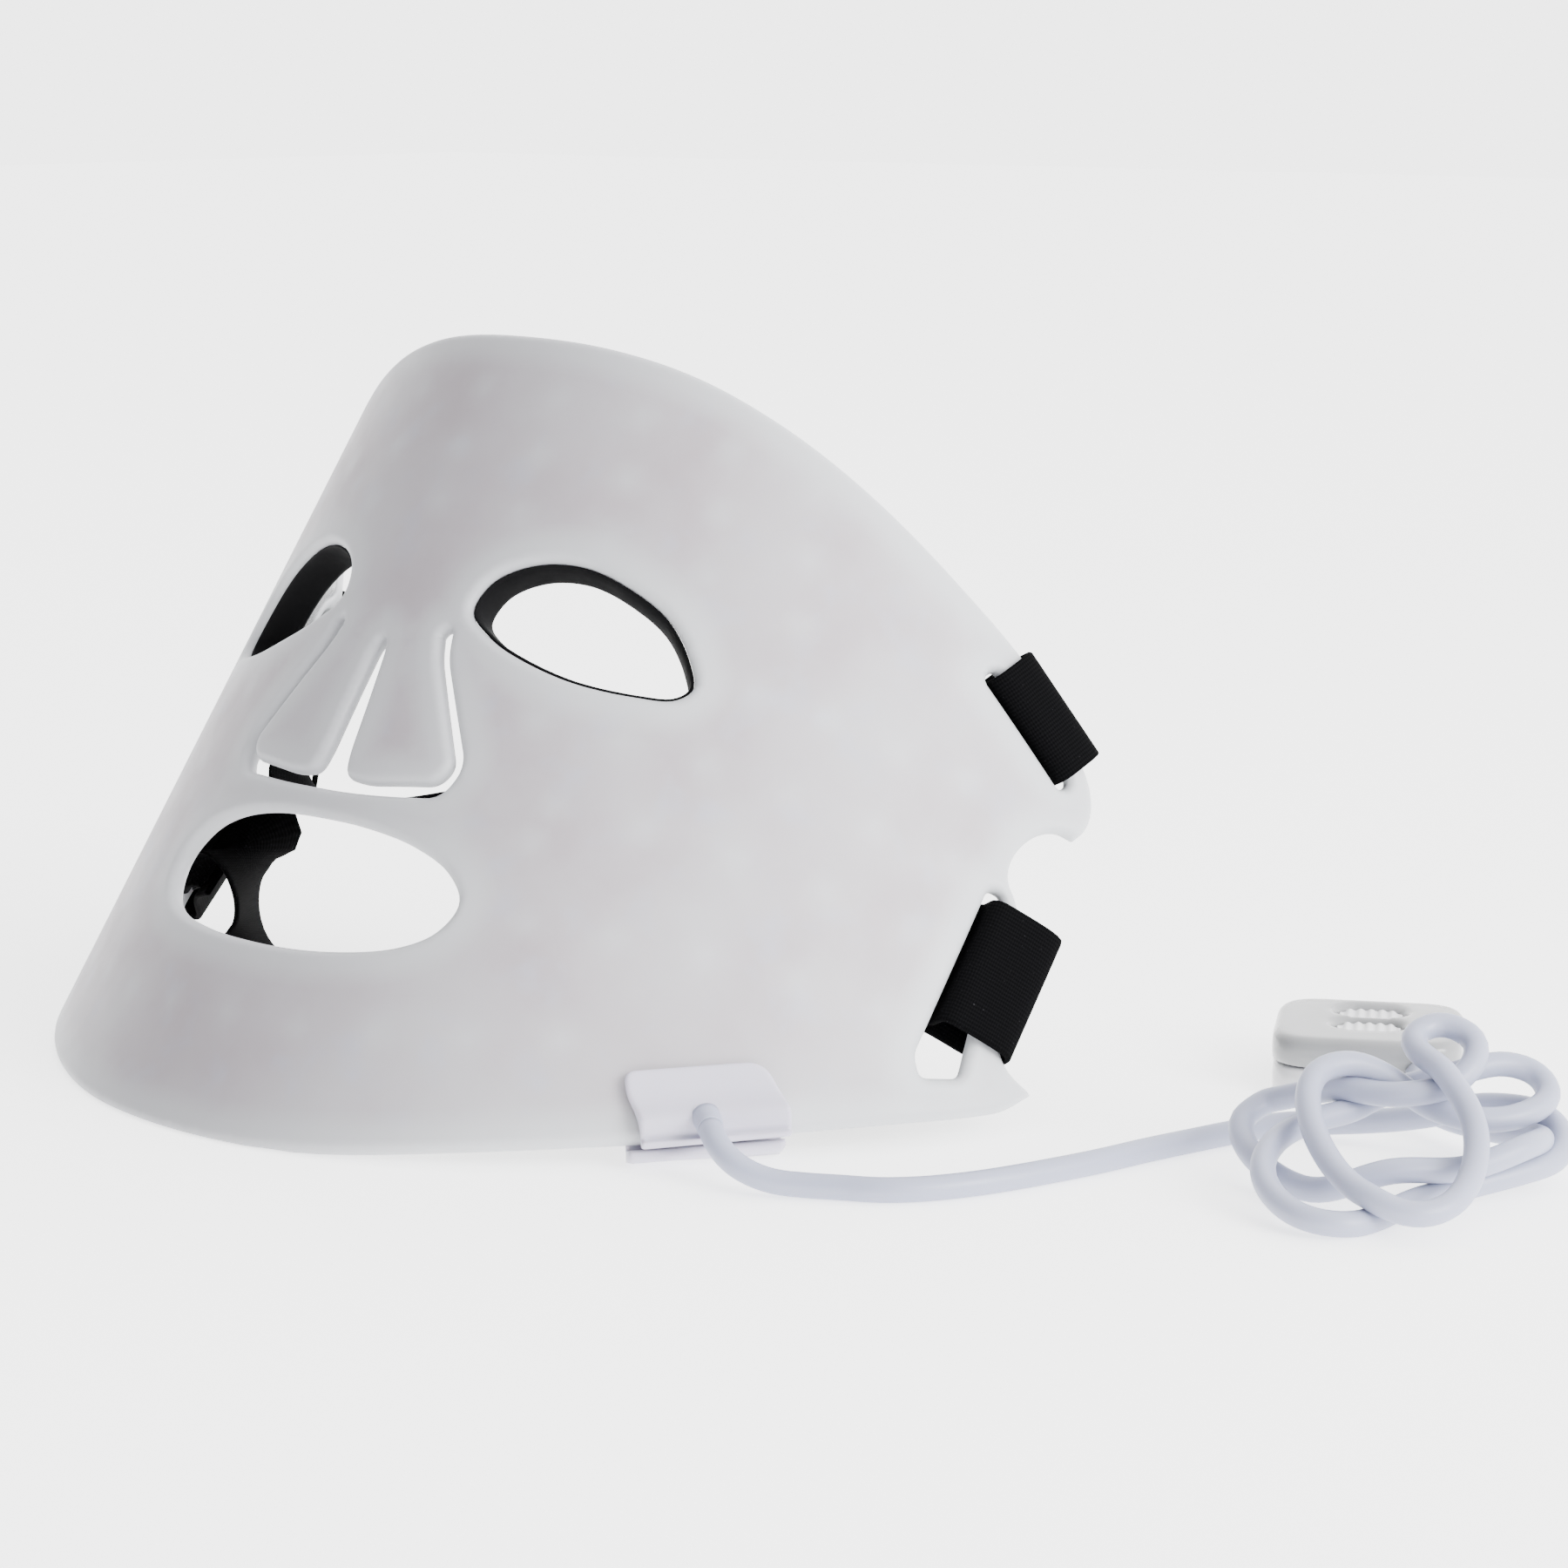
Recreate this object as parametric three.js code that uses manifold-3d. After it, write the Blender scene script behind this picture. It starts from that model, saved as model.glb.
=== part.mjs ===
// LED face mask: a flat, layered silicone sheet bent into part of a cone, held round the head by
// two elastic straps, with hinged nose flaps, a connector on its lower edge, a lead and a controller.
// Millimetres, +Z up. The mask faces -Y and the wearer's left is +X.
import * as THREE from 'three';
import { mergeVertices } from 'three/addons/utils/BufferGeometryUtils.js';
import Module from 'manifold-3d';

const wasm = await Module();
wasm.setup();

// ---- Driving dimensions ------------------------------------------------------------------------

// The cone that the sheet is bent to: its tip, and the curve of its lower edge on the table.
const TIP = new THREE.Vector3(0, 75, 448);
const BASE_HALF_WIDTH = 164.5;
const BASE_DEPTH = 208;
const BASE_SQUARENESS = 0.944;
// The connector under the lower edge props that side of the sheet up, smoothly, over LIFT_REACH.
const LIFT = 6;
const LIFT_REACH = 110;
// Where the mask's middle stands in the part's own frame, whose origin is under the middle of
// the mask and controller together.
const MASK_PLACE = [-32.5, 87.2, 0];

// The layers, as distances behind the sheet's front face.
const GAP = 0.3;
const SILICONE = [0, 1.8];
const CIRCUIT = [2.3, 2.6];
const LED_TAPE = [2.9, 3.2];
const LED_CHIP = [3, 3.5];
const LINER = [3.9, 4.9];
// The hem is cut level with the table, so a deeper layer starts this much higher per unit depth.
const HEM_BEVEL = 0.52;
const CIRCUIT_MARGIN = 7;

const STRAP_THICKNESS = 1.4;
const CORD_RADIUS = 2.8;

// ---- Colours -----------------------------------------------------------------------------------

function paint(colour, roughness, metalness = 0) {
  return new THREE.MeshStandardMaterial({ color: colour, roughness, metalness });
}

const WHITE_SILICONE = paint(0xe2dfe3, 0.55);
const CLEAR_SILICONE = paint(0xe9ebee, 0.4);
const BLACK_SILICONE = paint(0x141416, 0.6);
const CIRCUIT_FILM = paint(0xd9c9a8, 0.5);
const LED_WHITE = paint(0xf4f1e6, 0.35);
const ELASTIC = paint(0x151517, 0.9);
const HOOK_TAPE = paint(0x1d1d20, 0.95);
const SATIN_PLASTIC = paint(0xdcd9e6, 0.35);
const CORD_JACKET = paint(0xd2d4e4, 0.4);
const CLEAR_PLASTIC = paint(0xd4d4d6, 0.25);
const WHITE_PLASTIC = paint(0xefeef0, 0.3);
const BOARD_GREEN = paint(0x2e6b4a, 0.5);
const BATTERY_FOIL = paint(0xb9bcc2, 0.35, 0.6);
const STEEL = paint(0xa8aab0, 0.35, 1);
const GOLD = paint(0xd8b25a, 0.3, 1);

// ---- Solids ------------------------------------------------------------------------------------

const part = new THREE.Group();
const mask = new THREE.Group();
mask.position.set(...MASK_PLACE);
part.add(mask);

/** Put one named piece in a group. */
function addPiece(group, name, geometry, material) {
  const mesh = new THREE.Mesh(geometry, material);
  mesh.name = name;
  group.add(mesh);
  return mesh;
}

/** A closed geometry as a manifold solid. */
function toSolid(geometry) {
  const bare = geometry.clone();
  bare.deleteAttribute('normal');
  bare.deleteAttribute('uv');
  const merged = mergeVertices(bare, 1e-4);
  return new wasm.Manifold(new wasm.Mesh({
    numProp: 3,
    vertProperties: new Float32Array(merged.attributes.position.array),
    triVerts: new Uint32Array(merged.index.array),
  }));
}

/** A manifold solid as a geometry. */
function toGeometry(solid) {
  const mesh = solid.getMesh();
  return meshGeometry(mesh.vertProperties, mesh.triVerts);
}

/** A geometry from flat lists of coordinates and of triangle corners. */
function meshGeometry(coordinates, corners) {
  const geometry = new THREE.BufferGeometry();
  geometry.setAttribute('position', new THREE.BufferAttribute(new Float32Array(coordinates), 3));
  geometry.setIndex(Array.from(corners));
  geometry.computeVertexNormals();
  return geometry;
}

/** Join, then cut: one geometry from closed ones. */
function build(joined, cuts = []) {
  let solid = toSolid(joined[0]);
  for (const other of joined.slice(1)) solid = solid.add(toSolid(other));
  for (const cut of cuts) solid = solid.subtract(toSolid(cut));
  return toGeometry(solid);
}

/**
 * A closed skin through rings of points. Each ring has the same number of points and goes round
 * the solid the same way. The ends are a fan, or strips where a ring is a front row of points and
 * then a back row; or there are no ends, where the rings close on themselves.
 */
function loft(rings, ends = 'fan') {
  const count = rings[0].length;
  const coordinates = rings.flat().flatMap((point) => [point.x, point.y, point.z]);
  const corners = [];
  const spans = ends === 'closed' ? rings.length : rings.length - 1;
  for (let ring = 0; ring < spans; ring++) {
    const here = ring * count;
    const there = ((ring + 1) % rings.length) * count;
    for (let i = 0; i < count; i++) {
      const j = (i + 1) % count;
      corners.push(here + i, here + j, there + j, here + i, there + j, there + i);
    }
  }
  const last = (rings.length - 1) * count;
  const cap = (a, b, c) => corners.push(a, c, b, last + a, last + b, last + c);
  if (ends === 'fan') {
    for (let i = 1; i < count - 1; i++) cap(0, i, i + 1);
  }
  if (ends === 'strips') {
    for (let i = 0; i < count / 2 - 1; i++) {
      cap(i, i + 1, count - 2 - i);
      cap(i, count - 2 - i, count - 1 - i);
    }
  }
  return outward(meshGeometry(coordinates, corners));
}

/** The same closed geometry with its faces turned to point out. */
function outward(geometry) {
  const position = geometry.attributes.position;
  const [a, b, c] = [new THREE.Vector3(), new THREE.Vector3(), new THREE.Vector3()];
  const index = geometry.index.array;
  let volume = 0;
  for (let i = 0; i < index.length; i += 3) {
    a.fromBufferAttribute(position, index[i]);
    b.fromBufferAttribute(position, index[i + 1]);
    c.fromBufferAttribute(position, index[i + 2]);
    volume += a.dot(b.cross(c));
  }
  if (volume < 0) {
    for (let i = 0; i < index.length; i += 3) {
      [index[i + 1], index[i + 2]] = [index[i + 2], index[i + 1]];
    }
  }
  return geometry;
}

/** A rounded box, width x height x depth, its corners rounded in the X-Y plane, centred. */
function roundedBlock(width, height, depth, radius, cornerSteps = 3) {
  const shape = new THREE.Shape();
  const [x, y] = [width / 2 - radius, height / 2 - radius];
  shape.absarc(x, y, radius, 0, Math.PI / 2);
  shape.absarc(-x, y, radius, Math.PI / 2, Math.PI);
  shape.absarc(-x, -y, radius, Math.PI, 1.5 * Math.PI);
  shape.absarc(x, -y, radius, 1.5 * Math.PI, 2 * Math.PI);
  const options = { depth, bevelEnabled: false, curveSegments: cornerSteps };
  return new THREE.ExtrudeGeometry(shape, options).translate(0, 0, -depth / 2);
}

/** A round bar along Z, centred, that may taper. */
function bar(radiusTop, radiusBottom, length, sides = 10) {
  return new THREE.CylinderGeometry(radiusTop, radiusBottom, length, sides).rotateX(Math.PI / 2);
}

function box(width, depth, height) {
  return new THREE.BoxGeometry(width, depth, height);
}

// ---- The bent sheet ----------------------------------------------------------------------------

/** A point of the cone's lower edge, at an angle round from the chin. */
function basePoint(angle) {
  const swell = 1 + (BASE_SQUARENESS - 1) * Math.sin(angle) ** 2;
  return new THREE.Vector3(
    BASE_HALF_WIDTH * Math.sin(angle), -BASE_DEPTH * Math.cos(angle) * swell, 0);
}

/** The flat pattern's angle about the cone's tip, for even steps of the angle round the base. */
const UNROLL_STEP = THREE.MathUtils.degToRad(0.5);
const unrolled = [0];
for (let step = 1; step <= 180; step++) {
  const before = basePoint((step - 1) * UNROLL_STEP).sub(TIP);
  const after = basePoint(step * UNROLL_STEP).sub(TIP);
  unrolled.push(unrolled[step - 1] + before.angleTo(after));
}
const CHIN_RADIUS = basePoint(0).distanceTo(TIP);

/** The angle round the base that a flat angle about the tip unrolls from. */
function baseAngle(flatAngle) {
  const size = Math.abs(flatAngle);
  let step = 1;
  while (step < unrolled.length - 1 && unrolled[step] < size) step++;
  const part = (size - unrolled[step - 1]) / (unrolled[step] - unrolled[step - 1]);
  return Math.sign(flatAngle) * (step - 1 + part) * UNROLL_STEP;
}

/**
 * Bend the flat pattern: u runs across from the middle line, v runs up from the chin, and depth
 * is the distance behind the front face. Distances along the sheet don't change.
 */
function bend(u, v, depth = 0) {
  const flatAngle = Math.atan2(u, CHIN_RADIUS - v);
  const angle = baseAngle(flatAngle);
  const ray = basePoint(angle).sub(TIP);
  const along = ray.clone().multiplyScalar(Math.hypot(u, CHIN_RADIUS - v) / ray.length());
  const tangent = basePoint(angle + UNROLL_STEP).sub(basePoint(angle - UNROLL_STEP));
  const outwards = ray.cross(tangent).normalize();
  const point = TIP.clone().add(along).addScaledVector(outwards, -depth);
  point.z += LIFT * THREE.MathUtils.smoothstep(point.x, 0, LIFT_REACH);
  return point;
}

/** The sheet's outline: the top edge and the hem, as heights v over u, the same on both sides. */
const TOP_EDGE = new THREE.SplineCurve([
  [0, 209], [30, 208.5], [54, 206], [78, 200.5], [103, 192.5], [131, 181.5], [158, 169.5], [200, 147],
].map(([u, v]) => new THREE.Vector2(u, v)));
const HEM = new THREE.SplineCurve([
  [0, 0.8], [36, 3.4], [71, 11.8], [107, 24.9], [139, 40.6], [165, 54.6], [179, 62.6], [186, 67.4],
  [191.5, 74], [200, 87],
].map(([u, v]) => new THREE.Vector2(u, v)));

/** The height of an edge curve over u. */
function edgeHeight(curve, u) {
  const wanted = Math.abs(u);
  let [low, high] = [0, 1];
  for (let halving = 0; halving < 24; halving++) {
    const middle = (low + high) / 2;
    if (curve.getPoint(middle).x < wanted) low = middle;
    else high = middle;
  }
  return curve.getPoint(low).y;
}

/** One layer of the sheet before its holes: a bent slab from edge to edge. */
function slab([front, back], margin = 0, halfWidth = 193, columns = 30) {
  const rows = 5;
  const rings = [];
  for (let column = 0; column <= columns; column++) {
    const u = halfWidth * (2 * column / columns - 1);
    const low = edgeHeight(HEM, u) + margin;
    const high = edgeHeight(TOP_EDGE, u) - margin;
    const face = (depth) => Array.from({ length: rows + 1 }, (_, row) => (
      bend(u, THREE.MathUtils.lerp(low + HEM_BEVEL * depth, high, row / rows), depth)));
    rings.push([...face(front), ...face(back).reverse()]);
  }
  return loft(rings, 'strips');
}

/** A bent cutter with a flat outline, reaching through the sheet on both sides. */
function cutter(loop, front = -24, back = 12) {
  const outline = THREE.ShapeUtils.isClockWise(loop) ? [...loop].reverse() : loop;
  const faces = THREE.ShapeUtils.triangulateShape(outline, []);
  const rows = [front, back].map((depth) => outline.map(({ x, y }) => bend(x, y, depth)));
  const count = outline.length;
  const corners = [];
  for (const [a, b, c] of faces) corners.push(a, b, c, count + a, count + c, count + b);
  for (let i = 0; i < count; i++) {
    const j = (i + 1) % count;
    corners.push(i, count + i, count + j, i, count + j, j);
  }
  return outward(meshGeometry(rows.flat().flatMap((p) => [p.x, p.y, p.z]), corners));
}

/** A closed flat outline moved outwards (or inwards, if negative) by a distance. */
function grown(outline, distance) {
  const turn = THREE.ShapeUtils.isClockWise(outline) ? -1 : 1;
  return outline.map((point, i) => {
    const before = outline[(i + outline.length - 1) % outline.length];
    const after = outline[(i + 1) % outline.length];
    const along = after.clone().sub(before).normalize();
    return new THREE.Vector2(point.x + turn * along.y * distance, point.y - turn * along.x * distance);
  });
}

/** The corners of a straight-sided loop, listed anticlockwise, each side moved out by a distance. */
function offsetCorners(corners, distance) {
  const points = corners.map(([u, v]) => new THREE.Vector2(u, v));
  return points.map((point, i) => {
    const into = point.clone().sub(points[(i + points.length - 1) % points.length]).normalize();
    const out = points[(i + 1) % points.length].clone().sub(point).normalize();
    const [first, second] = [into, out].map((way) => new THREE.Vector2(way.y, -way.x));
    const share = distance / (1 + first.dot(second));
    return [point.x + (first.x + second.x) * share, point.y + (first.y + second.y) * share];
  });
}

function mirrored(outline) {
  return outline.map(({ x, y }) => new THREE.Vector2(-x, y)).reverse();
}

/** A closed outline through a few points, as one smooth loop. */
function smoothLoop(points, steps) {
  const curve = new THREE.CatmullRomCurve3(
    points.map(([u, v]) => new THREE.Vector3(u, v, 0)), true, 'centripetal');
  return curve.getPoints(steps).slice(0, -1).map(({ x, y }) => new THREE.Vector2(x, y));
}

/** A closed outline with straight sides and rounded corners. */
function roundedLoop(points, radius, cornerSteps = 3) {
  const outline = [];
  const corners = points.map(([u, v]) => new THREE.Vector2(u, v));
  corners.forEach((corner, i) => {
    const before = corners[(i + corners.length - 1) % corners.length].clone().sub(corner);
    const after = corners[(i + 1) % corners.length].clone().sub(corner);
    const reach = Math.min(radius, before.length() * 0.45, after.length() * 0.45);
    const start = corner.clone().addScaledVector(before.normalize(), reach);
    const end = corner.clone().addScaledVector(after.normalize(), reach);
    outline.push(...new THREE.QuadraticBezierCurve(start, corner, end).getPoints(cornerSteps));
  });
  return outline;
}

// The openings in the flat pattern, on the wearer's left; the right ones are their mirror image.
const EYE = smoothLoop([
  [22, 137], [24, 145], [33, 151], [46, 153], [60, 150], [71, 145], [79, 137], [82, 131],
  [79, 127], [70, 125], [55, 124.5], [41, 127], [30, 131],
], 24);
const MOUTH = smoothLoop([
  [0, 81], [16, 80.5], [32, 78], [43, 73.5], [48.5, 67], [46, 59.5], [38, 54], [22, 50], [0, 48.5],
  [-22, 50], [-38, 54], [-46, 59.5], [-48.5, 67], [-43, 73.5], [-32, 78], [-16, 80.5],
], 28);
const UPPER_SLOT = [[176.2, 149.4], [148, 165.6], [146, 162], [174, 146]];
const LOWER_SLOT = [[169, 114.5], [164.6, 114.5], [161, 70], [164, 65.5], [173, 69.5]];
const SLOT_ROUNDING = 1.8;

// The side's shape outside u = 150: the strip beyond the upper slot, the notch over the ear, the
// strip beyond the lower slot, and the pointed corner of the jaw.
const SIDE_TRIM = [
  [158, 169.5], [161, 168.6], [172, 160], [181.5, 152], [184.3, 146], [184, 140.5], [182, 137],
  [177.5, 136.6], [173, 133.6], [169.6, 129], [168, 123.5], [168.6, 119.6], [171.5, 116],
  [174.5, 112.5], [177.3, 100], [179.3, 86], [180, 79.5], [183, 76.3], [191.5, 74], [206, 74], [206, 190], [158, 190],
].map(([u, v]) => new THREE.Vector2(u, v));

// The nose opening, and the two flaps that hang in it from its top.
const NOSE_OPENING = roundedLoop([
  [2.4, 125.7], [16.4, 129.3], [19, 130.6], [20.6, 124], [36.6, 98], [33, 92], [12, 89.3],
  [-12, 89.3], [-33, 92], [-36.6, 98], [-20.6, 124], [-19, 130.6], [-16.4, 129.3], [-2.4, 125.7],
  [0, 127],
], 3, 2);
const NOSE_WINDOW = [[37, 98], [19, 131], [-19, 131], [-37, 98], [-33, 89], [33, 89]];
const FLAP = [
  [3.6, 95.5], [4.6, 92], [12, 91], [31, 93.5], [34, 98.5], [18, 126], [16.4, 128.4], [2.4, 124.8],
];

/** An outline and its mirror image. */
const bothSides = (outline) => [outline, mirrored(outline)];

/** One whole layer of silicone with its openings, set in from the outline by a margin. */
function siliconeLayer(depths, margin = 0) {
  const slots = [UPPER_SLOT, LOWER_SLOT].map((corners) => roundedLoop(corners, SLOT_ROUNDING, 2));
  const outlines = [MOUTH, NOSE_OPENING, ...[EYE, SIDE_TRIM, ...slots].flatMap(bothSides)];
  return build([slab(depths, margin)], outlines.map((outline) => cutter(outline)));
}

/** The circuit film: it keeps a margin to every edge and stops short of the ears. */
function circuitLayer() {
  const slots = [UPPER_SLOT, LOWER_SLOT].map((corners) => (
    roundedLoop(offsetCorners(corners, CIRCUIT_MARGIN), CIRCUIT_MARGIN, 2)));
  const window = roundedLoop(offsetCorners(NOSE_WINDOW, CIRCUIT_MARGIN), CIRCUIT_MARGIN, 2);
  const outlines = [grown(MOUTH, CIRCUIT_MARGIN - 2), window];
  outlines.push(...[grown(EYE, CIRCUIT_MARGIN - 2), ...slots].flatMap(bothSides));
  return build([slab(CIRCUIT, CIRCUIT_MARGIN, 158)], outlines.map((outline) => cutter(outline)));
}

/** One layer of a nose flap, on the given side, set in from the flap's edge by a margin. */
function flapLayer(depths, side, margin = 0) {
  const outline = roundedLoop(offsetCorners(FLAP, -margin), 2.2, 2);
  const blank = toSolid(slab(depths, 0, 60, 10));
  return toGeometry(blank.intersect(toSolid(cutter(side > 0 ? outline : mirrored(outline)))));
}

/** A bent bar of the sheet's curve: a row from u0 to u1, with its height v a function of u. */
function bentRow(u0, u1, height, width, [front, back], steps) {
  const rings = [];
  for (let step = 0; step <= steps; step++) {
    const u = THREE.MathUtils.lerp(u0, u1, step / steps);
    const [low, high] = [height(u) - width / 2, height(u) + width / 2];
    rings.push([bend(u, low, front), bend(u, high, front), bend(u, high, back), bend(u, low, back)]);
  }
  return loft(rings);
}

/** A row of LED chips on its tape, as one body. */
function ledRow(u0, u1, height, chips) {
  const [tapeWidth, chipWidth, chipLength] = [3.2, 2.8, 3.5];
  const tape = bentRow(u0 - 3, u1 + 3, height, tapeWidth, LED_TAPE, 2 * chips + 2);
  const packages = [];
  for (let chip = 0; chip < chips; chip++) {
    const u = THREE.MathUtils.lerp(u0, u1, chip / (chips - 1));
    const ends = [u - chipLength / 2, u + chipLength / 2];
    packages.push(bentRow(...ends, () => height(u), chipWidth, LED_CHIP, 1));
  }
  return build([tape, ...packages]);
}

// ---- The sheet's pieces ------------------------------------------------------------------------

addPiece(mask, 'front_silicone', siliconeLayer(SILICONE), WHITE_SILICONE);
addPiece(mask, 'flex_circuit', circuitLayer(), CIRCUIT_FILM);
addPiece(mask, 'skin_liner', siliconeLayer(LINER, 0.6), CLEAR_SILICONE);

// The LED rows: their span in u, their height and slope, and how many chips each carries.
const ARCH = 0.0009;
const arch = (top) => (u) => top - ARCH * u * u;
addPiece(mask, 'led_row_forehead_top', ledRow(-92, 92, arch(194), 9), LED_WHITE);
addPiece(mask, 'led_row_forehead_middle', ledRow(-96, 96, arch(178), 9), LED_WHITE);
addPiece(mask, 'led_row_brow', ledRow(-100, 100, arch(163), 9), LED_WHITE);
addPiece(mask, 'led_row_lip', ledRow(-60, 60, () => 84.8, 7), LED_WHITE);
addPiece(mask, 'led_row_chin', ledRow(-84, 84, (u) => 30 + 0.0017 * u * u, 9), LED_WHITE);
const SIDE_ROWS = [
  ['cheek_top', 96, 150, 134, 0.03, 4],
  ['cheek_upper', 50, 154, 113, 0.02, 6],
  ['cheek_lower', 62, 150, 94, 0.03, 5],
  ['jaw', 66, 150, 66, 0.12, 5],
];
for (const [name, inner, outer, top, slope, chips] of SIDE_ROWS) {
  for (const [word, side] of [['left', 1], ['right', -1]]) {
    const height = (u) => top + slope * (Math.abs(u) - inner);
    const span = side > 0 ? [inner, outer] : [-outer, -inner];
    addPiece(mask, `led_row_${name}_${word}`, ledRow(...span, height, chips), LED_WHITE);
  }
}

/** A soft black ring lining an eye opening: it stands behind the sheet and stops short of its front. */
function eyeGuard(outline) {
  const [front, back, wall] = [0.7, 6.2, 1.4];
  const outer = grown(outline, -GAP);
  const inner = grown(outline, -GAP - wall);
  const rings = outer.map((point, i) => [
    bend(point.x, point.y, front), bend(inner[i].x, inner[i].y, front),
    bend(inner[i].x, inner[i].y, back), bend(point.x, point.y, back),
  ]);
  return loft(rings, 'closed');
}
addPiece(mask, 'eye_guard_left', eyeGuard(EYE), BLACK_SILICONE);
addPiece(mask, 'eye_guard_right', eyeGuard(mirrored(EYE)), BLACK_SILICONE);

const flapLights = (side) => {
  const row = (v, inner, outer) => {
    const span = side > 0 ? [inner, outer] : [-outer, -inner];
    return bentRow(...span, () => v, 2.8, LED_TAPE, 3);
  };
  const stem = bentRow(...(side > 0 ? [10, 13] : [-13, -10]), () => 109, 30, LED_CHIP, 1);
  return build([stem, row(118, 6, 15), row(108, 7, 20), row(98, 8, 26)]);
};
for (const [word, side] of [['left', 1], ['right', -1]]) {
  addPiece(mask, `nose_flap_${word}`, flapLayer(SILICONE, side), WHITE_SILICONE);
  addPiece(mask, `nose_flap_circuit_${word}`, flapLayer(CIRCUIT, side, 2), CIRCUIT_FILM);
  addPiece(mask, `nose_flap_leds_${word}`, flapLights(side), LED_WHITE);
  addPiece(mask, `nose_flap_liner_${word}`, flapLayer(LINER, side), CLEAR_SILICONE);
}

// ---- Straps ------------------------------------------------------------------------------------

/** Axes on the sheet at a flat point: across it, along it and out of it, turned by an angle. */
function sheetAxes(u, v, turn) {
  const step = 0.5;
  const right = bend(u + step, v).sub(bend(u - step, v)).normalize();
  const up = bend(u, v + step).sub(bend(u, v - step)).normalize();
  const out = right.clone().cross(up).normalize();
  const across = right.clone().multiplyScalar(Math.cos(turn)).addScaledVector(up, Math.sin(turn));
  const along = out.clone().cross(across).normalize();
  return { at: bend(u, v), across: along.clone().cross(out), along, out };
}

/** A flat band through stations: each has a middle point and the direction of the band's width. */
function band(stations, width, thickness) {
  const rings = stations.map(({ point, wide }, i) => {
    const before = stations[Math.max(i - 1, 0)].point;
    const after = stations[Math.min(i + 1, stations.length - 1)].point;
    const run = after.clone().sub(before);
    const side = wide.clone().addScaledVector(run, -wide.dot(run) / run.lengthSq()).normalize();
    const face = run.cross(side).normalize();
    const corner = (a, b) => point.clone()
      .addScaledVector(side, a * width / 2).addScaledVector(face, b * thickness / 2);
    return [corner(-1, -1), corner(1, -1), corner(1, 1), corner(-1, 1)];
  });
  return loft(rings);
}

/**
 * A strap's loop round the strip outside a slot, in the plane across the slot: how far outboard
 * of the slot's middle, and how far out of the sheet's front face. It starts on the inside, comes
 * out through the slot, goes over the strip and round the sheet's edge, and ends behind itself.
 */
function loopPath(reach, tail) {
  const slope = 0.52;
  const [inner, outer] = [10, 14.6];
  const inside = (a, level) => [-a, -level - slope * (a - 9)];
  return [
    inside(tail, inner), inside(tail - 2, inner), inside(9, inner), [-2.6, -8], [-0.2, -5.8],
    [0, -2.3], [0.2, 0], [1.6, 1.3], [4, 1.6], [reach - 3, 1.5], [reach - 0.6, 0.3],
    [reach, -3.2], [reach - 0.4, -6.8], [reach - 3.4, -9.6], [2, -10.8], [-4, -12],
    inside(9, outer), inside(tail, outer),
  ];
}

/** The straps: slot middle, the way outboard across the slot, and the loop's and band's sizes. */
const STRAPS = {
  upper: {
    slot: [160.9, 155.6], outboard: THREE.MathUtils.degToRad(60.3), reach: 12.6, tail: 34, width: 29.5,
    patch: [29, 12],
  },
  lower: {
    slot: [165.2, 96], outboard: THREE.MathUtils.degToRad(-4.9), reach: 18.8, tail: 13, width: 33,
    patch: [10.5, 4.5],
  },
};

/** Stations along a path in the plane across a strap's slot, on the given side. */
function loopStations({ slot, outboard }, side, path) {
  const [u, v] = slot;
  const axes = sheetAxes(side * u, v, side > 0 ? outboard : Math.PI - outboard);
  const wide = axes.along.clone().multiplyScalar(side);
  return path.map(([a, c]) => ({
    point: axes.at.clone().addScaledVector(axes.across, a).addScaledVector(axes.out, c),
    wide: wide.clone(),
  }));
}

/** A station of a strap's span behind the face: its middle, its width's tilt from upright, its turn. */
function spanStation([x, y, z, tilt, turn = 0]) {
  const [angle, yaw] = [tilt, turn].map(THREE.MathUtils.degToRad);
  return {
    point: new THREE.Vector3(x, y, z),
    wide: new THREE.Vector3(-Math.sin(yaw) * Math.sin(angle), Math.cos(yaw) * Math.sin(angle),
      Math.cos(angle)),
  };
}

/** A whole strap: the right loop from its end, the span behind the face, then the left loop. */
function strap(shape, span) {
  const path = loopPath(shape.reach, shape.tail);
  const left = loopStations(shape, 1, path);
  const right = loopStations(shape, -1, path).reverse();
  return band([...right, ...span.map(spanStation), ...left], shape.width, STRAP_THICKNESS);
}

/** The patch of hook tape between a strap's two layers, behind the sheet. */
function hookPatch(shape, side) {
  const [thickness, level, slope] = [0.5, 12.3, 0.52];
  const path = shape.patch.map((a) => [-a, -level - slope * (a - 9)]);
  return band(loopStations(shape, side, path), shape.width - 3, thickness);
}

// The upper strap twists nearly level as it crosses; the lower one is slack and lies on the table.
const UPPER_SPAN = [[-91.6, -80, 51.6, -48], [-86, -83.2, 49, -68], [-76, -84, 48.4, -78],
  [-60, -83.4, 49.6, -79], [-40, -82, 51.4, -72], [0, -79.8, 56, -50], [40, -79, 61, -32],
  [80, -77.4, 64.4, -22]];
const LOWER_SPAN = [[-109.6, -89.2, 35.3, 47, 2], [-106, -90.2, 33.4, 58, 16], [-104.4, -91, 27.6, 74, 30],
  [-103.8, -91.8, 20, 88, 38], [-103, -92.8, 12, 90, 34], [-100, -94, 5.4, 90, 18],
  [-93, -95.2, 2.2, 90, 6], [-84, -96, 1.2, 90], [0, -96, 1.2, 90], [74, -96, 1.2, 90],
  [86, -95, 2.2, 90], [95, -93, 5.6, 90], [102, -91, 12.5, 90], [105, -89, 21, 90],
  [105.8, -87.6, 29.5, 82], [106.8, -87.4, 36.8, 70], [109.2, -88, 41, 56], [112.6, -89, 42.2, 44]];
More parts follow.
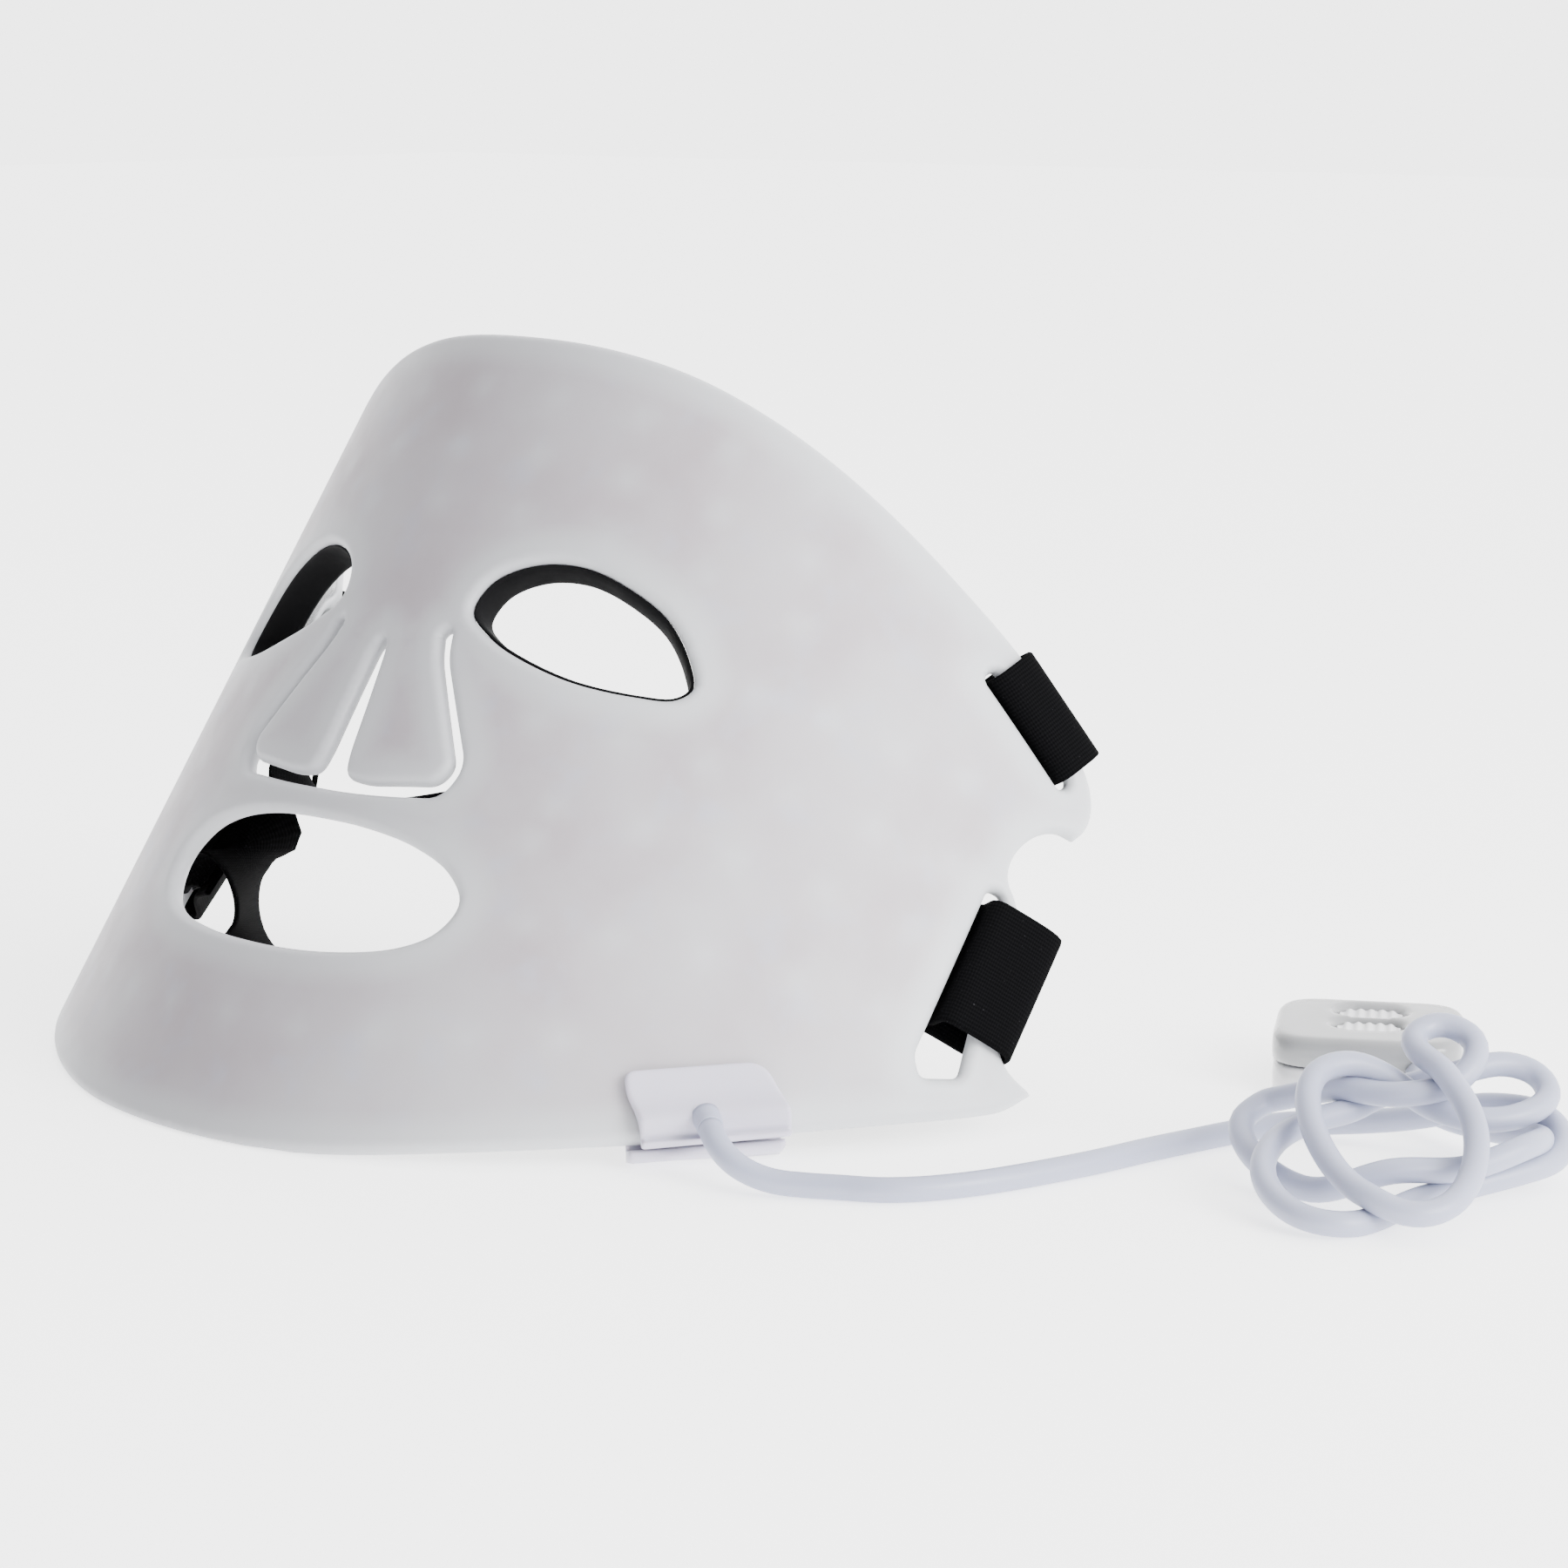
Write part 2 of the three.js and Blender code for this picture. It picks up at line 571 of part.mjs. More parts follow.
addPiece(mask, 'upper_strap', strap(STRAPS.upper, UPPER_SPAN), ELASTIC);
addPiece(mask, 'lower_strap', strap(STRAPS.lower, LOWER_SPAN), ELASTIC);
for (const [word, side] of [['left', 1], ['right', -1]]) {
  addPiece(mask, `upper_strap_hook_${word}`, hookPatch(STRAPS.upper, side), HOOK_TAPE);
  addPiece(mask, `lower_strap_hook_${word}`, hookPatch(STRAPS.lower, side), HOOK_TAPE);
}

// ---- Connector ---------------------------------------------------------------------------------

// The connector clips over the hem on the wearer's left. Its group's axes are X along the hem,
// Y up the sheet and Z out of it, from the hem's front edge.
const CONNECTOR_PLACE = [121, 31];
const CONNECTOR_TURN = Math.atan2(16, 32);
const CONNECTOR_SHIFT = 4;
const CONNECTOR_WIDTH = 34;
const CABLE_HOLE = [-1.8, 3.2];

const connector = new THREE.Group();
const hemAxes = sheetAxes(...CONNECTOR_PLACE, CONNECTOR_TURN);
connector.applyMatrix4(new THREE.Matrix4()
  .makeBasis(hemAxes.across, hemAxes.along, hemAxes.out)
  .setPosition(hemAxes.at.clone().addScaledVector(hemAxes.across, CONNECTOR_SHIFT)));
mask.add(connector);

/** A profile of [y, z] points carried along X, centred on it. */
function railed(profile, width) {
  const shape = new THREE.Shape(profile.map(([y, z]) => new THREE.Vector2(y, z)));
  const blank = new THREE.ExtrudeGeometry(shape, { depth: width, bevelEnabled: false });
  const turn = new THREE.Matrix4().makeBasis(
    new THREE.Vector3(0, 1, 0), new THREE.Vector3(0, 0, 1), new THREE.Vector3(1, 0, 0));
  return blank.applyMatrix4(turn).translate(-width / 2, 0, 0);
}

/** The front cover: a thin plate with round upper corners, over a thicker rounded foot. */
function connectorFront() {
  const plate = roundedBlock(CONNECTOR_WIDTH, 16, 2.3, 5).translate(0, 8.5, 1.65);
  const foot = railed([
    [-0.9, 0.5], [9.5, 0.5], [9.2, 2.8], [8, 4.2], [6.2, 5], [1.2, 5], [-0.2, 4.6], [-0.9, 3.8],
  ], CONNECTOR_WIDTH);
  const pocket = box(27, 5.4, 3).translate(0, 4.2, 1.8);
  return build([plate, foot], [pocket]);
}
addPiece(connector, 'connector_front_cover', connectorFront(), SATIN_PLASTIC);

/** The rear cover: a plate behind the sheet, with a rail that runs under the hem to the front. */
function connectorRear() {
  const cover = railed([
    [-2.2, -8.6], [13.6, -8.6], [13.6, -6.9], [13.2, -6.4], [-0.6, -6.4], [-0.6, -0.4], [-1.4, 0.2],
    [-2.9, 0.2], [-3.2, -0.2],
  ], CONNECTOR_WIDTH - 1);
  const bores = SCREW_SPOTS.map((x) => bar(1.1, 1.1, 6).translate(x, 6.5, -7.5));
  return build([cover], bores);
}
const SCREW_SPOTS = [-11, 11];
addPiece(connector, 'connector_rear_cover', connectorRear(), SATIN_PLASTIC);

addPiece(connector, 'connector_board', box(25, 4.4, 0.9).translate(0, 4.2, 2.2), BOARD_GREEN);

/** Spring contacts on one carrier bar, facing the sheet. */
function contacts() {
  const carrier = box(17, 2.4, 0.45).translate(0, 4.2, 1.2);
  const tips = [-6, -2, 2, 6].map((x) => box(1.4, 1.4, 0.5).translate(x, 4.2, 0.8));
  return build([carrier, ...tips]);
}
addPiece(connector, 'connector_contacts', contacts(), GOLD);

/** A screw along Z: a domed head under the origin and a shank above it. */
function screw(headRadius, shankRadius, shank) {
  const profile = [
    [0, shank], [shankRadius, shank], [shankRadius, 0], [headRadius, 0], [headRadius, -0.5],
    [headRadius * 0.6, -0.9], [0, -1],
  ].map(([r, z]) => new THREE.Vector2(r, z));
  return outward(mergedLathe(new THREE.LatheGeometry(profile.reverse(), 8).rotateX(Math.PI / 2)));
}

/** A lathe turned shape with its seam and poles joined. */
function mergedLathe(geometry) {
  geometry.deleteAttribute('normal');
  geometry.deleteAttribute('uv');
  const merged = mergeVertices(geometry, 1e-4);
  const kept = [];
  const index = merged.index.array;
  for (let i = 0; i < index.length; i += 3) {
    const [a, b, c] = [index[i], index[i + 1], index[i + 2]];
    if (a !== b && b !== c && c !== a) kept.push(a, b, c);
  }
  return meshGeometry(merged.attributes.position.array, kept);
}
SCREW_SPOTS.forEach((x, i) => {
  const mesh = addPiece(connector, `connector_screw_${i + 1}`, screw(1.7, 0.8, 1.9), STEEL);
  mesh.position.set(x, 6.5, -8.9);
});

// The gland points down and out; its root is cut square to the foot's face.
const GLAND_TILT = THREE.MathUtils.degToRad(37);
const gland = bar(3, 3.4, 8).translate(0, 0, -0.8).rotateX(GLAND_TILT)
  .translate(...CABLE_HOLE, 5.3);
addPiece(connector, 'cord_gland', build([gland], [box(30, 30, 10).translate(0, 0, 0.3)]), CORD_JACKET);

// ---- Cord --------------------------------------------------------------------------------------

// The lead from the gland, down to the table and along it to the tied hank.
const LEAD = [
  [115, -154.8, 11.2], [118, -157.2, 10.3], [121.5, -159.2, 8.9], [125.8, -160.1, 6.8],
  [130.2, -159.3, 4.9], [135, -157.2, 3.5], [141, -153.8, 3], [148, -149.8, 2.9],
  [155, -146.2, 2.9], [161, -140.6, 2.9], [166.5, -132.5, 2.9], [171, -123, 2.9],
  [175.5, -110.5, 2.9], [179.2, -98.4, 2.9], [182.6, -84, 2.9], [186.6, -70, 2.9],
  [190.2, -58.2, 2.9],
];
// The last of the cord, from the hank into the controller's strain relief.
const TAIL = [[216.5, -24.6, 7], [213.9, -19.9, 7.2], [211.3, -15.1, 7.4]];

// The hank's outer shape: the way it faces, its middle, its sizes and its height.
const HANK = { turn: 39.8, at: [238.4, -65.1], width: 75, depth: 89, height: 34 };

/** A cord's tube through a list of points. */
function cordTube(points, steps) {
  const curve = new THREE.CatmullRomCurve3(points.map((p) => new THREE.Vector3(...p)));
  const section = new THREE.Shape().absarc(0, 0, CORD_RADIUS, 0, 2 * Math.PI);
  return new THREE.ExtrudeGeometry(section, { steps, curveSegments: 5, extrudePath: curve });
}
addPiece(mask, 'cord_lead', cordTube(LEAD, 20), CORD_JACKET);
addPiece(mask, 'cord_tail', cordTube(TAIL, 3), CORD_JACKET);

const hank = addPiece(mask, 'cord_hank',
  roundedBlock(HANK.width, HANK.depth, HANK.height, 30, 6), CORD_JACKET);
hank.position.set(...HANK.at, GAP + HANK.height / 2);
hank.rotation.z = THREE.MathUtils.degToRad(HANK.turn);

// ---- Controller --------------------------------------------------------------------------------

// A small translucent box behind the hank: X across, Y away from the hank, Z up from the table.
const BOX = { width: 45, depth: 42, height: 15, corner: 7, wall: 1.6, split: 7.2 };
const BUTTON = { width: 15.4, depth: 9.4, top: 14.2, spots: [['power', 10], ['mode', -3]] };
const CONTROLLER_SCREWS = [[-17, -15.5], [17, -15.5], [17, 15.5], [-17, 15.5]];

const controller = new THREE.Group();
controller.position.set(184.6, 6.5, 0);
controller.rotation.z = THREE.MathUtils.degToRad(28.8);
mask.add(controller);

/** A rounded block of the controller's plan, set in by a margin, from one height to another. */
function caseBlock(margin, low, high) {
  return roundedBlock(BOX.width - 2 * margin, BOX.depth - 2 * margin, high - low, BOX.corner - margin)
    .translate(0, 0, (low + high) / 2);
}

function bottomShell() {
  const cuts = [caseBlock(BOX.wall, 1.9, BOX.split + 1)];
  const posts = CONTROLLER_SCREWS.map(([x, y]) => bar(2.4, 2.4, 4.9).translate(x, y, 4.25));
  const bores = CONTROLLER_SCREWS.flatMap(([x, y]) => [
    bar(1.2, 1.2, 12).translate(x, y, 4), bar(2.1, 2.1, 3.4).translate(x, y, 0.5)]);
  const hollow = build([caseBlock(0, GAP, BOX.split)], cuts);
  return build([hollow, ...posts], bores);
}

/** A stadium outline's prism, for the buttons and their openings. */
function oval(width, depth, low, high) {
  return roundedBlock(width, depth, high - low, depth / 2 - 0.01, 4).translate(0, 0, (low + high) / 2);
}

function topShell() {
  const low = BOX.split + GAP;
  const windows = BUTTON.spots.map(([, y]) => oval(BUTTON.width + 0.7, BUTTON.depth + 0.7, 10, 20)
    .translate(0, y, 0));
  const port = box(10, 8, 4).translate(0, BOX.depth / 2, 10.6);
  const relief = bar(4.1, 4.1, 8).rotateX(Math.PI / 2).translate(13, -BOX.depth / 2, 7.4);
  const cavity = caseBlock(BOX.wall, low - 1, BOX.height - BOX.wall);
  return build([caseBlock(0, low, BOX.height)], [cavity, ...windows, port, relief]);
}

addPiece(controller, 'controller_bottom_shell',
  build([bottomShell()], [bar(4.1, 4.1, 8).rotateX(Math.PI / 2).translate(13, -21, 7.4)]),
  WHITE_PLASTIC);
addPiece(controller, 'controller_top_shell', topShell(), CLEAR_PLASTIC);
addPiece(controller, 'controller_board', box(30, 26, 1).translate(0, 3, 8.2), BOARD_GREEN);
addPiece(controller, 'controller_battery', roundedBlock(26, 24, 4.4, 2).translate(0, 1, 4.6), BATTERY_FOIL);
addPiece(controller, 'charge_port', box(9, 5.4, 3.1).translate(0, 18, 10.6), STEEL);

for (const [name, y] of BUTTON.spots) {
  const cap = oval(BUTTON.width, BUTTON.depth, 11.2, BUTTON.top);
  const stem = box(3, 3, 2).translate(0, 0, 10.8);
  const button = addPiece(controller, `button_${name}`, build([cap, stem]), WHITE_PLASTIC);
  button.position.y = y;
}

CONTROLLER_SCREWS.forEach(([x, y], i) => {
  const mesh = addPiece(controller, `controller_screw_${i + 1}`, screw(1.7, 0.8, 4.2), STEEL);
  mesh.position.set(x, y, 1.85);
});

const relief = addPiece(controller, 'cord_strain_relief',
  new THREE.CylinderGeometry(3.7, 2.9, 12, 14), CORD_JACKET);
relief.position.set(13, -BOX.depth / 2 - 4.4, 7.4);

export default part;
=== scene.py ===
"""LED face mask: the looks of the bent silicone sheet, its straps, connector, cord and controller."""
import math
import bpy
import numpy as np
from mathutils import Matrix, Vector
from mathutils.geometry import delaunay_2d_cdt


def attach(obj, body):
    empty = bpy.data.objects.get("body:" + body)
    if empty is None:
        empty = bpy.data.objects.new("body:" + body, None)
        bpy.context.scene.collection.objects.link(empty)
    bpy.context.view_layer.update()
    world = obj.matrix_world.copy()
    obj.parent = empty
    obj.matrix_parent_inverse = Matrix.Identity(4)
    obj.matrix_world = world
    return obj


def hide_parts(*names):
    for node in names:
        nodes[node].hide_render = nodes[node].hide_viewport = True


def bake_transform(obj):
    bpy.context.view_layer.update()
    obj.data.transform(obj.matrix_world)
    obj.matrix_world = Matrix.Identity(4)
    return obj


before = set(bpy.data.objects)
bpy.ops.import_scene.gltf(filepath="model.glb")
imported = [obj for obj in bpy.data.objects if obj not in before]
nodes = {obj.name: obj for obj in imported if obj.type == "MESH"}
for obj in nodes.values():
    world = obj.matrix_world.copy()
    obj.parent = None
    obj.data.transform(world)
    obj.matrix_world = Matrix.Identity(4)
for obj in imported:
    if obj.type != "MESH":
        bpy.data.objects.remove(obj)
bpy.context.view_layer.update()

# ---- Shared places, in millimetres of the mask's own frame ---------------------------------------

MASK_PLACE = np.array([-32.5, 87.2, 0.0])
TIP = np.array([0.0, 75.0, 448.0])
BASE_HALF_WIDTH, BASE_DEPTH, BASE_SQUARENESS = 164.5, 208.0, 0.944
LIFT, LIFT_REACH = 6.0, 110.0
SHEET_THICKNESS = 4.9
CORD_RADIUS = 2.8
TABLE_GAP = 0.3


def row(points):
    """Points in millimetres of the mask's frame as metres in the row frame."""
    return (np.asarray(points, float) + MASK_PLACE) / 1000


# ---- Camera --------------------------------------------------------------------------------------

RIGHT = Vector((0.7686, 0.6397, 0.0)).normalized()
BACK = Vector((0.6279, -0.7545, 0.1908)).normalized()
camera_data = bpy.data.cameras.new("camera")
camera_data.lens = 86.576
camera_data.sensor_width = 36
camera_data.clip_end = 20
camera = bpy.data.objects.new("camera", camera_data)
bpy.context.scene.collection.objects.link(camera)
UP = BACK.cross(RIGHT)
place = Matrix((RIGHT, UP, BACK)).transposed().to_4x4()
place.translation = Vector(row([638.1, -758.1, 243.3]))
camera.matrix_world = place
bpy.context.scene.camera = camera

# ---- Helpers -------------------------------------------------------------------------------------


def add_mesh(name, vertices, faces, body, slot, smooth=True):
    """A mesh piece that rides on a body."""
    mesh = bpy.data.meshes.new(name)
    mesh.from_pydata([tuple(v) for v in vertices], [], [tuple(int(i) for i in f) for f in faces])
    mesh.update()
    if smooth:
        mesh.shade_smooth()
    piece = bpy.data.objects.new(name, mesh)
    bpy.context.scene.collection.objects.link(piece)
    if body:
        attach(piece, body)
    return piece


def smooth_line(points, spacing, closed=False):
    """A centripetal Catmull-Rom line through the points, resampled at an even spacing."""
    p = np.asarray(points, float)
    p = np.vstack([p[-1], p, p[0], p[1]]) if closed else np.vstack(
        [2 * p[0] - p[1], p, 2 * p[-1] - p[-2]])
    line = []
    for i in range(1, len(p) - 2):
        a, b, c, d = p[i - 1:i + 3]
        t1 = math.dist(a, b) ** 0.5
        t2 = t1 + math.dist(b, c) ** 0.5
        t3 = t2 + math.dist(c, d) ** 0.5
        t = np.linspace(t1, t2, 24, endpoint=False)[:, None]
        ab = (t1 - t) / t1 * a + t / t1 * b
        bc = (t2 - t) / (t2 - t1) * b + (t - t1) / (t2 - t1) * c
        cd = (t3 - t) / (t3 - t2) * c + (t - t2) / (t3 - t2) * d
        abc = (t2 - t) / t2 * ab + t / t2 * bc
        bcd = (t3 - t) / (t3 - t1) * bc + (t - t1) / (t3 - t1) * cd
        line.append((t2 - t) / (t2 - t1) * abc + (t - t1) / (t2 - t1) * bcd)
    line.append(p[-2][None])
    return resampled(np.vstack(line), spacing, closed)


def resampled(line, spacing, closed=False):
    """A line's points at even steps near the wanted spacing; a closed line drops its last point."""
    along = np.concatenate([[0], np.cumsum(np.linalg.norm(np.diff(line, axis=0), axis=1))])
    count = max(3, round(along[-1] / spacing))
    steps = np.linspace(0, along[-1], count + 1)
    out = np.stack([np.interp(steps, along, line[:, k]) for k in range(line.shape[1])], axis=1)
    return out[:-1] if closed else out


def rounded_polygon(corners, radius, spacing):
    """A closed line with straight sides and round corners; a corner is (x, y) or (x, y, radius)."""
    line = []
    count = len(corners)
    for i, corner in enumerate(corners):
        here = np.array(corner[:2], float)
        reach = corner[2] if len(corner) > 2 else radius
        before = np.array(corners[i - 1][:2], float) - here
        after = np.array(corners[(i + 1) % count][:2], float) - here
        reach = min(reach, np.linalg.norm(before) * 0.48, np.linalg.norm(after) * 0.48)
        start = here + before / np.linalg.norm(before) * reach
        end = here + after / np.linalg.norm(after) * reach
        for t in np.linspace(0, 1, 9):
            line.append((1 - t) ** 2 * start + 2 * t * (1 - t) * here + t ** 2 * end)
    line.append(line[0])
    return resampled(np.array(line), spacing, closed=True)


def inside(points, loop):
    """Whether each flat point is inside a closed line."""
    x, y = points[:, 0][:, None], points[:, 1][:, None]
    a, b = loop, np.roll(loop, -1, axis=0)
    crosses = (a[:, 1] > y) != (b[:, 1] > y)
    rise = np.where(b[:, 1] == a[:, 1], 1e-9, b[:, 1] - a[:, 1])
    at = a[:, 0] + (y - a[:, 1]) / rise * (b[:, 0] - a[:, 0])
    return (np.sum(crosses & (x < at), axis=1) % 2) == 1


def edge_distance(points, loops):
    """Each flat point's distance to the nearest of the closed lines."""
    best = np.full(len(points), np.inf)
    for loop in loops:
        a, b = loop, np.roll(loop, -1, axis=0)
        side = b - a
        size = np.maximum(np.sum(side * side, axis=1), 1e-12)
        for start in range(0, len(points), 2000):
            part = points[start:start + 2000, None]
            t = np.clip(np.sum((part - a) * side, axis=2) / size, 0, 1)
            gap = np.linalg.norm(part - (a + t[..., None] * side), axis=2)
            best[start:start + 2000] = np.minimum(best[start:start + 2000], gap.min(axis=1))
    return best


def flat_mesh(outer, holes, rings, spacing, cuts=()):
    """A triangulated flat region: (points, triangles, distance of each point to the edge).

    Points follow each edge at the given distances from it, then a staggered grid fills the rest.
    Lines in cuts are kept as edges of the triangles.
    """
    loops = [outer, *holes]
    edges, points, count = [], [], 0
    for loop in loops:
        size = len(loop)
        edges += [(count + i, count + (i + 1) % size) for i in range(size)]
        points.append(loop)
        count += size
    for cut in cuts:
        points.append(cut)
        edges += [(count + i, count + i + 1) for i in range(len(cut) - 1)]
        count += len(cut)
    for loop in loops:
        along = np.roll(loop, -1, axis=0) - np.roll(loop, 1, axis=0)
        normal = np.stack([along[:, 1], -along[:, 0]], axis=1)
        normal /= np.linalg.norm(normal, axis=1)[:, None]
        for distance in rings:
            for way in (1, -1):
                moved = loop + way * normal * distance
                points.append(moved[edge_distance(moved, loops) > distance - 0.03])
    low, high = outer.min(axis=0), outer.max(axis=0)
    rows = []
    for k, y in enumerate(np.arange(low[1], high[1], spacing * 0.87)):
        xs = np.arange(low[0] + (k % 2) * spacing / 2, high[0], spacing)
        rows.append(np.stack([xs, np.full(len(xs), y)], axis=1))
    grid = np.vstack(rows)
    grid = grid[edge_distance(grid, loops) > rings[-1] + spacing * 0.55]
    points = np.vstack([*points, grid])

    def in_region(spots):
        kept = inside(spots, outer)
        for hole in holes:
            kept &= ~inside(spots, hole)
        return kept

    fixed = count
    free = points[fixed:]
    points = np.vstack([points[:fixed], free[in_region(free)]])
    out = delaunay_2d_cdt([Vector(p) for p in points], edges, [], 0, 1e-6)
    flat = np.array([tuple(v) for v in out[0]])
    triangles = np.array([f for f in out[2] if len(f) == 3])
    triangles = triangles[in_region(flat[triangles].mean(axis=1))]
    return flat, triangles, edge_distance(flat, loops)


def rounding(distance, radius):
    """How far a surface has fallen at a distance from an edge rounded with that radius."""
    t = np.clip(1 - distance / radius, 0, 1)
    return radius * (1 - np.sqrt(np.maximum(1 - t * t, 0)))


def closed_slab(flat, triangles, distance, front, back, place):
    """Vertices and faces of a slab between two height functions, joined at its edge points."""
    rim = distance < 1e-4
    upper = place(flat[:, 0], flat[:, 1], np.where(rim, (front + back) / 2, front))
    lower = place(flat[~rim][:, 0], flat[~rim][:, 1], back[~rim])
    lower_index = np.arange(len(flat))
    lower_index[~rim] = len(flat) + np.arange(len(lower))
    return np.vstack([upper, lower]), np.vstack([triangles, lower_index[triangles][:, ::-1]])


# ---- The bent sheet ------------------------------------------------------------------------------


def base_point(angle):
    """A point of the cone's lower edge: (w sin a, -d cos a (1 + (q - 1) sin^2 a), 0)."""
    swell = 1 + (BASE_SQUARENESS - 1) * np.sin(angle) ** 2
    return np.stack([BASE_HALF_WIDTH * np.sin(angle), -BASE_DEPTH * np.cos(angle) * swell,
                     np.zeros_like(angle)], axis=-1)


BASE_ANGLES = np.radians(np.arange(0, 181) * 0.5)
_rays = base_point(BASE_ANGLES) - TIP
_rays /= np.linalg.norm(_rays, axis=1)[:, None]
UNROLLED = np.concatenate([[0], np.cumsum(np.arccos(np.sum(_rays[1:] * _rays[:-1], axis=1)))])
CHIN_RADIUS = float(np.linalg.norm(base_point(np.array(0.0)) - TIP))


def smoothstep(x):
    t = np.clip(x, 0, 1)
    return t * t * (3 - 2 * t)


def bend(u, v, depth=0.0):
    """The flat pattern bent to the cone, in millimetres of the mask's frame.

    A flat point at angle f = atan2(u, R - v) and radius r = |(u, R - v)| about the tip goes to
    tip + r * ray(f), moved in by depth along the normal; the +X side is lifted smoothly.
    """
    u, v, depth = np.broadcast_arrays(np.asarray(u, float), np.asarray(v, float), np.asarray(depth, float))
    flat = np.arctan2(u, CHIN_RADIUS - v)
    angle = np.sign(flat) * np.interp(np.abs(flat), UNROLLED, BASE_ANGLES)
    ray = base_point(angle) - TIP
    size = np.linalg.norm(ray, axis=-1, keepdims=True)
    along = ray / size * np.hypot(u, CHIN_RADIUS - v)[..., None]
    tangent = base_point(angle + 0.01) - base_point(angle - 0.01)
    out = np.cross(ray, tangent)
    out /= np.linalg.norm(out, axis=-1, keepdims=True)
    point = TIP + along - out * depth[..., None]
    point[..., 2] += LIFT * smoothstep(point[..., 0] / LIFT_REACH)
    return point


def sheet_axes(u, v, turn):
    """A point on the sheet, and the directions across it, along it and out of it, turned."""
    right = bend(u + 0.5, v) - bend(u - 0.5, v)
    right /= np.linalg.norm(right)
    up = bend(u, v + 0.5) - bend(u, v - 0.5)
    up /= np.linalg.norm(up)
    out = np.cross(right, up)
    out /= np.linalg.norm(out)
    across = right * math.cos(turn) + up * math.sin(turn)
    along = np.cross(out, across)
    along /= np.linalg.norm(along)
    return bend(u, v), np.cross(along, out), along, out


def mirrored(points):
    return [(-p[0], *p[1:]) for p in reversed(points)]


TOP_HALF = [(0, 209), (30, 208.5), (54, 206), (78, 200.5), (103, 192.5), (131, 181.5), (158, 169.8),
            (172, 160.2), (181.5, 151.5), (184.3, 145), (184, 140.5), (182, 136.8)]
NOTCH = [(182, 136.8), (177.5, 136.4), (173, 133.6), (169.6, 129), (168, 123.5), (168.8, 119),
         (172, 115.4), (174.8, 111), (177.3, 100), (179.3, 86), (180.4, 80), (184, 76.6), (191.5, 74)]
HEM_HALF = [(191.5, 74), (186, 67.4), (179, 62.6), (165, 54.6), (139, 40.6), (107, 24.9), (71, 11.8),
            (36, 3.4), (0, 0.8)]


def outline(spacing):
    """The sheet's whole edge: pointed over the ears and at the jaw, smooth elsewhere."""
    top = smooth_line(mirrored(TOP_HALF)[:-1] + TOP_HALF, spacing)
    hem = smooth_line(HEM_HALF + mirrored(HEM_HALF)[1:], spacing)
    right, left = smooth_line(NOTCH, spacing), smooth_line(mirrored(NOTCH), spacing)
    return np.vstack([top[:-1], right[:-1], hem[:-1], left[:-1]])


EYE = [(22, 137), (24, 145), (33, 151), (46, 153), (60, 150), (71, 145), (79, 137), (82, 131),
       (79, 127), (70, 125), (55, 124.5), (41, 127), (30, 131)]
MOUTH_HALF = [(0, 81), (16, 80.5), (32, 78), (43, 73.5), (48.5, 67), (46, 59.5), (38, 54), (22, 50)]
MOUTH = MOUTH_HALF + [(0, 48.5)] + mirrored(MOUTH_HALF[1:])
UPPER_SLOT = [(176.2, 149.4), (148, 165.6), (146, 162), (174, 146)]
LOWER_SLOT = [(169, 114.5), (164.6, 114.5), (161, 70), (164, 65.5), (173, 69.5)]
# The slits round the two nose flaps are one opening: up one side, round, and down the other.
SLIT_HALF = [(0, 127.6, 1), (1.5, 124, 4), (2.6, 112, 8), (3.6, 97, 3), (5, 91.4, 3.2), (12, 90.6, 6),
             (31.4, 93.4, 4), (34.2, 98.6, 4), (18.6, 124.5, 8), (16.6, 130.4, 1), (19, 131.6, 1),
             (20.6, 124.5, 5), (36.6, 99, 5), (33.6, 90.4, 5), (12, 88, 10)]
SLITS = SLIT_HALF[1:] + mirrored(SLIT_HALF[1:]) + [SLIT_HALF[0]]
ROOT = [(1.5, 124.4), (16.95, 129.2)]

FINE = 1.3
holes = {
    "eye_left": smooth_line(EYE, FINE, closed=True),
    "eye_right": smooth_line(mirrored(EYE), FINE, closed=True),
    "mouth": smooth_line(MOUTH, FINE, closed=True),
    "slits": rounded_polygon(SLITS, 2, 0.9),
    "slot_1": rounded_polygon(UPPER_SLOT, 1.8, 1.0),
    "slot_2": rounded_polygon(mirrored(UPPER_SLOT), 1.8, 1.0),
    "slot_3": rounded_polygon(LOWER_SLOT, 1.8, 1.0),
    "slot_4": rounded_polygon(mirrored(LOWER_SLOT), 1.8, 1.0),
}

# ---- Materials -----------------------------------------------------------------------------------


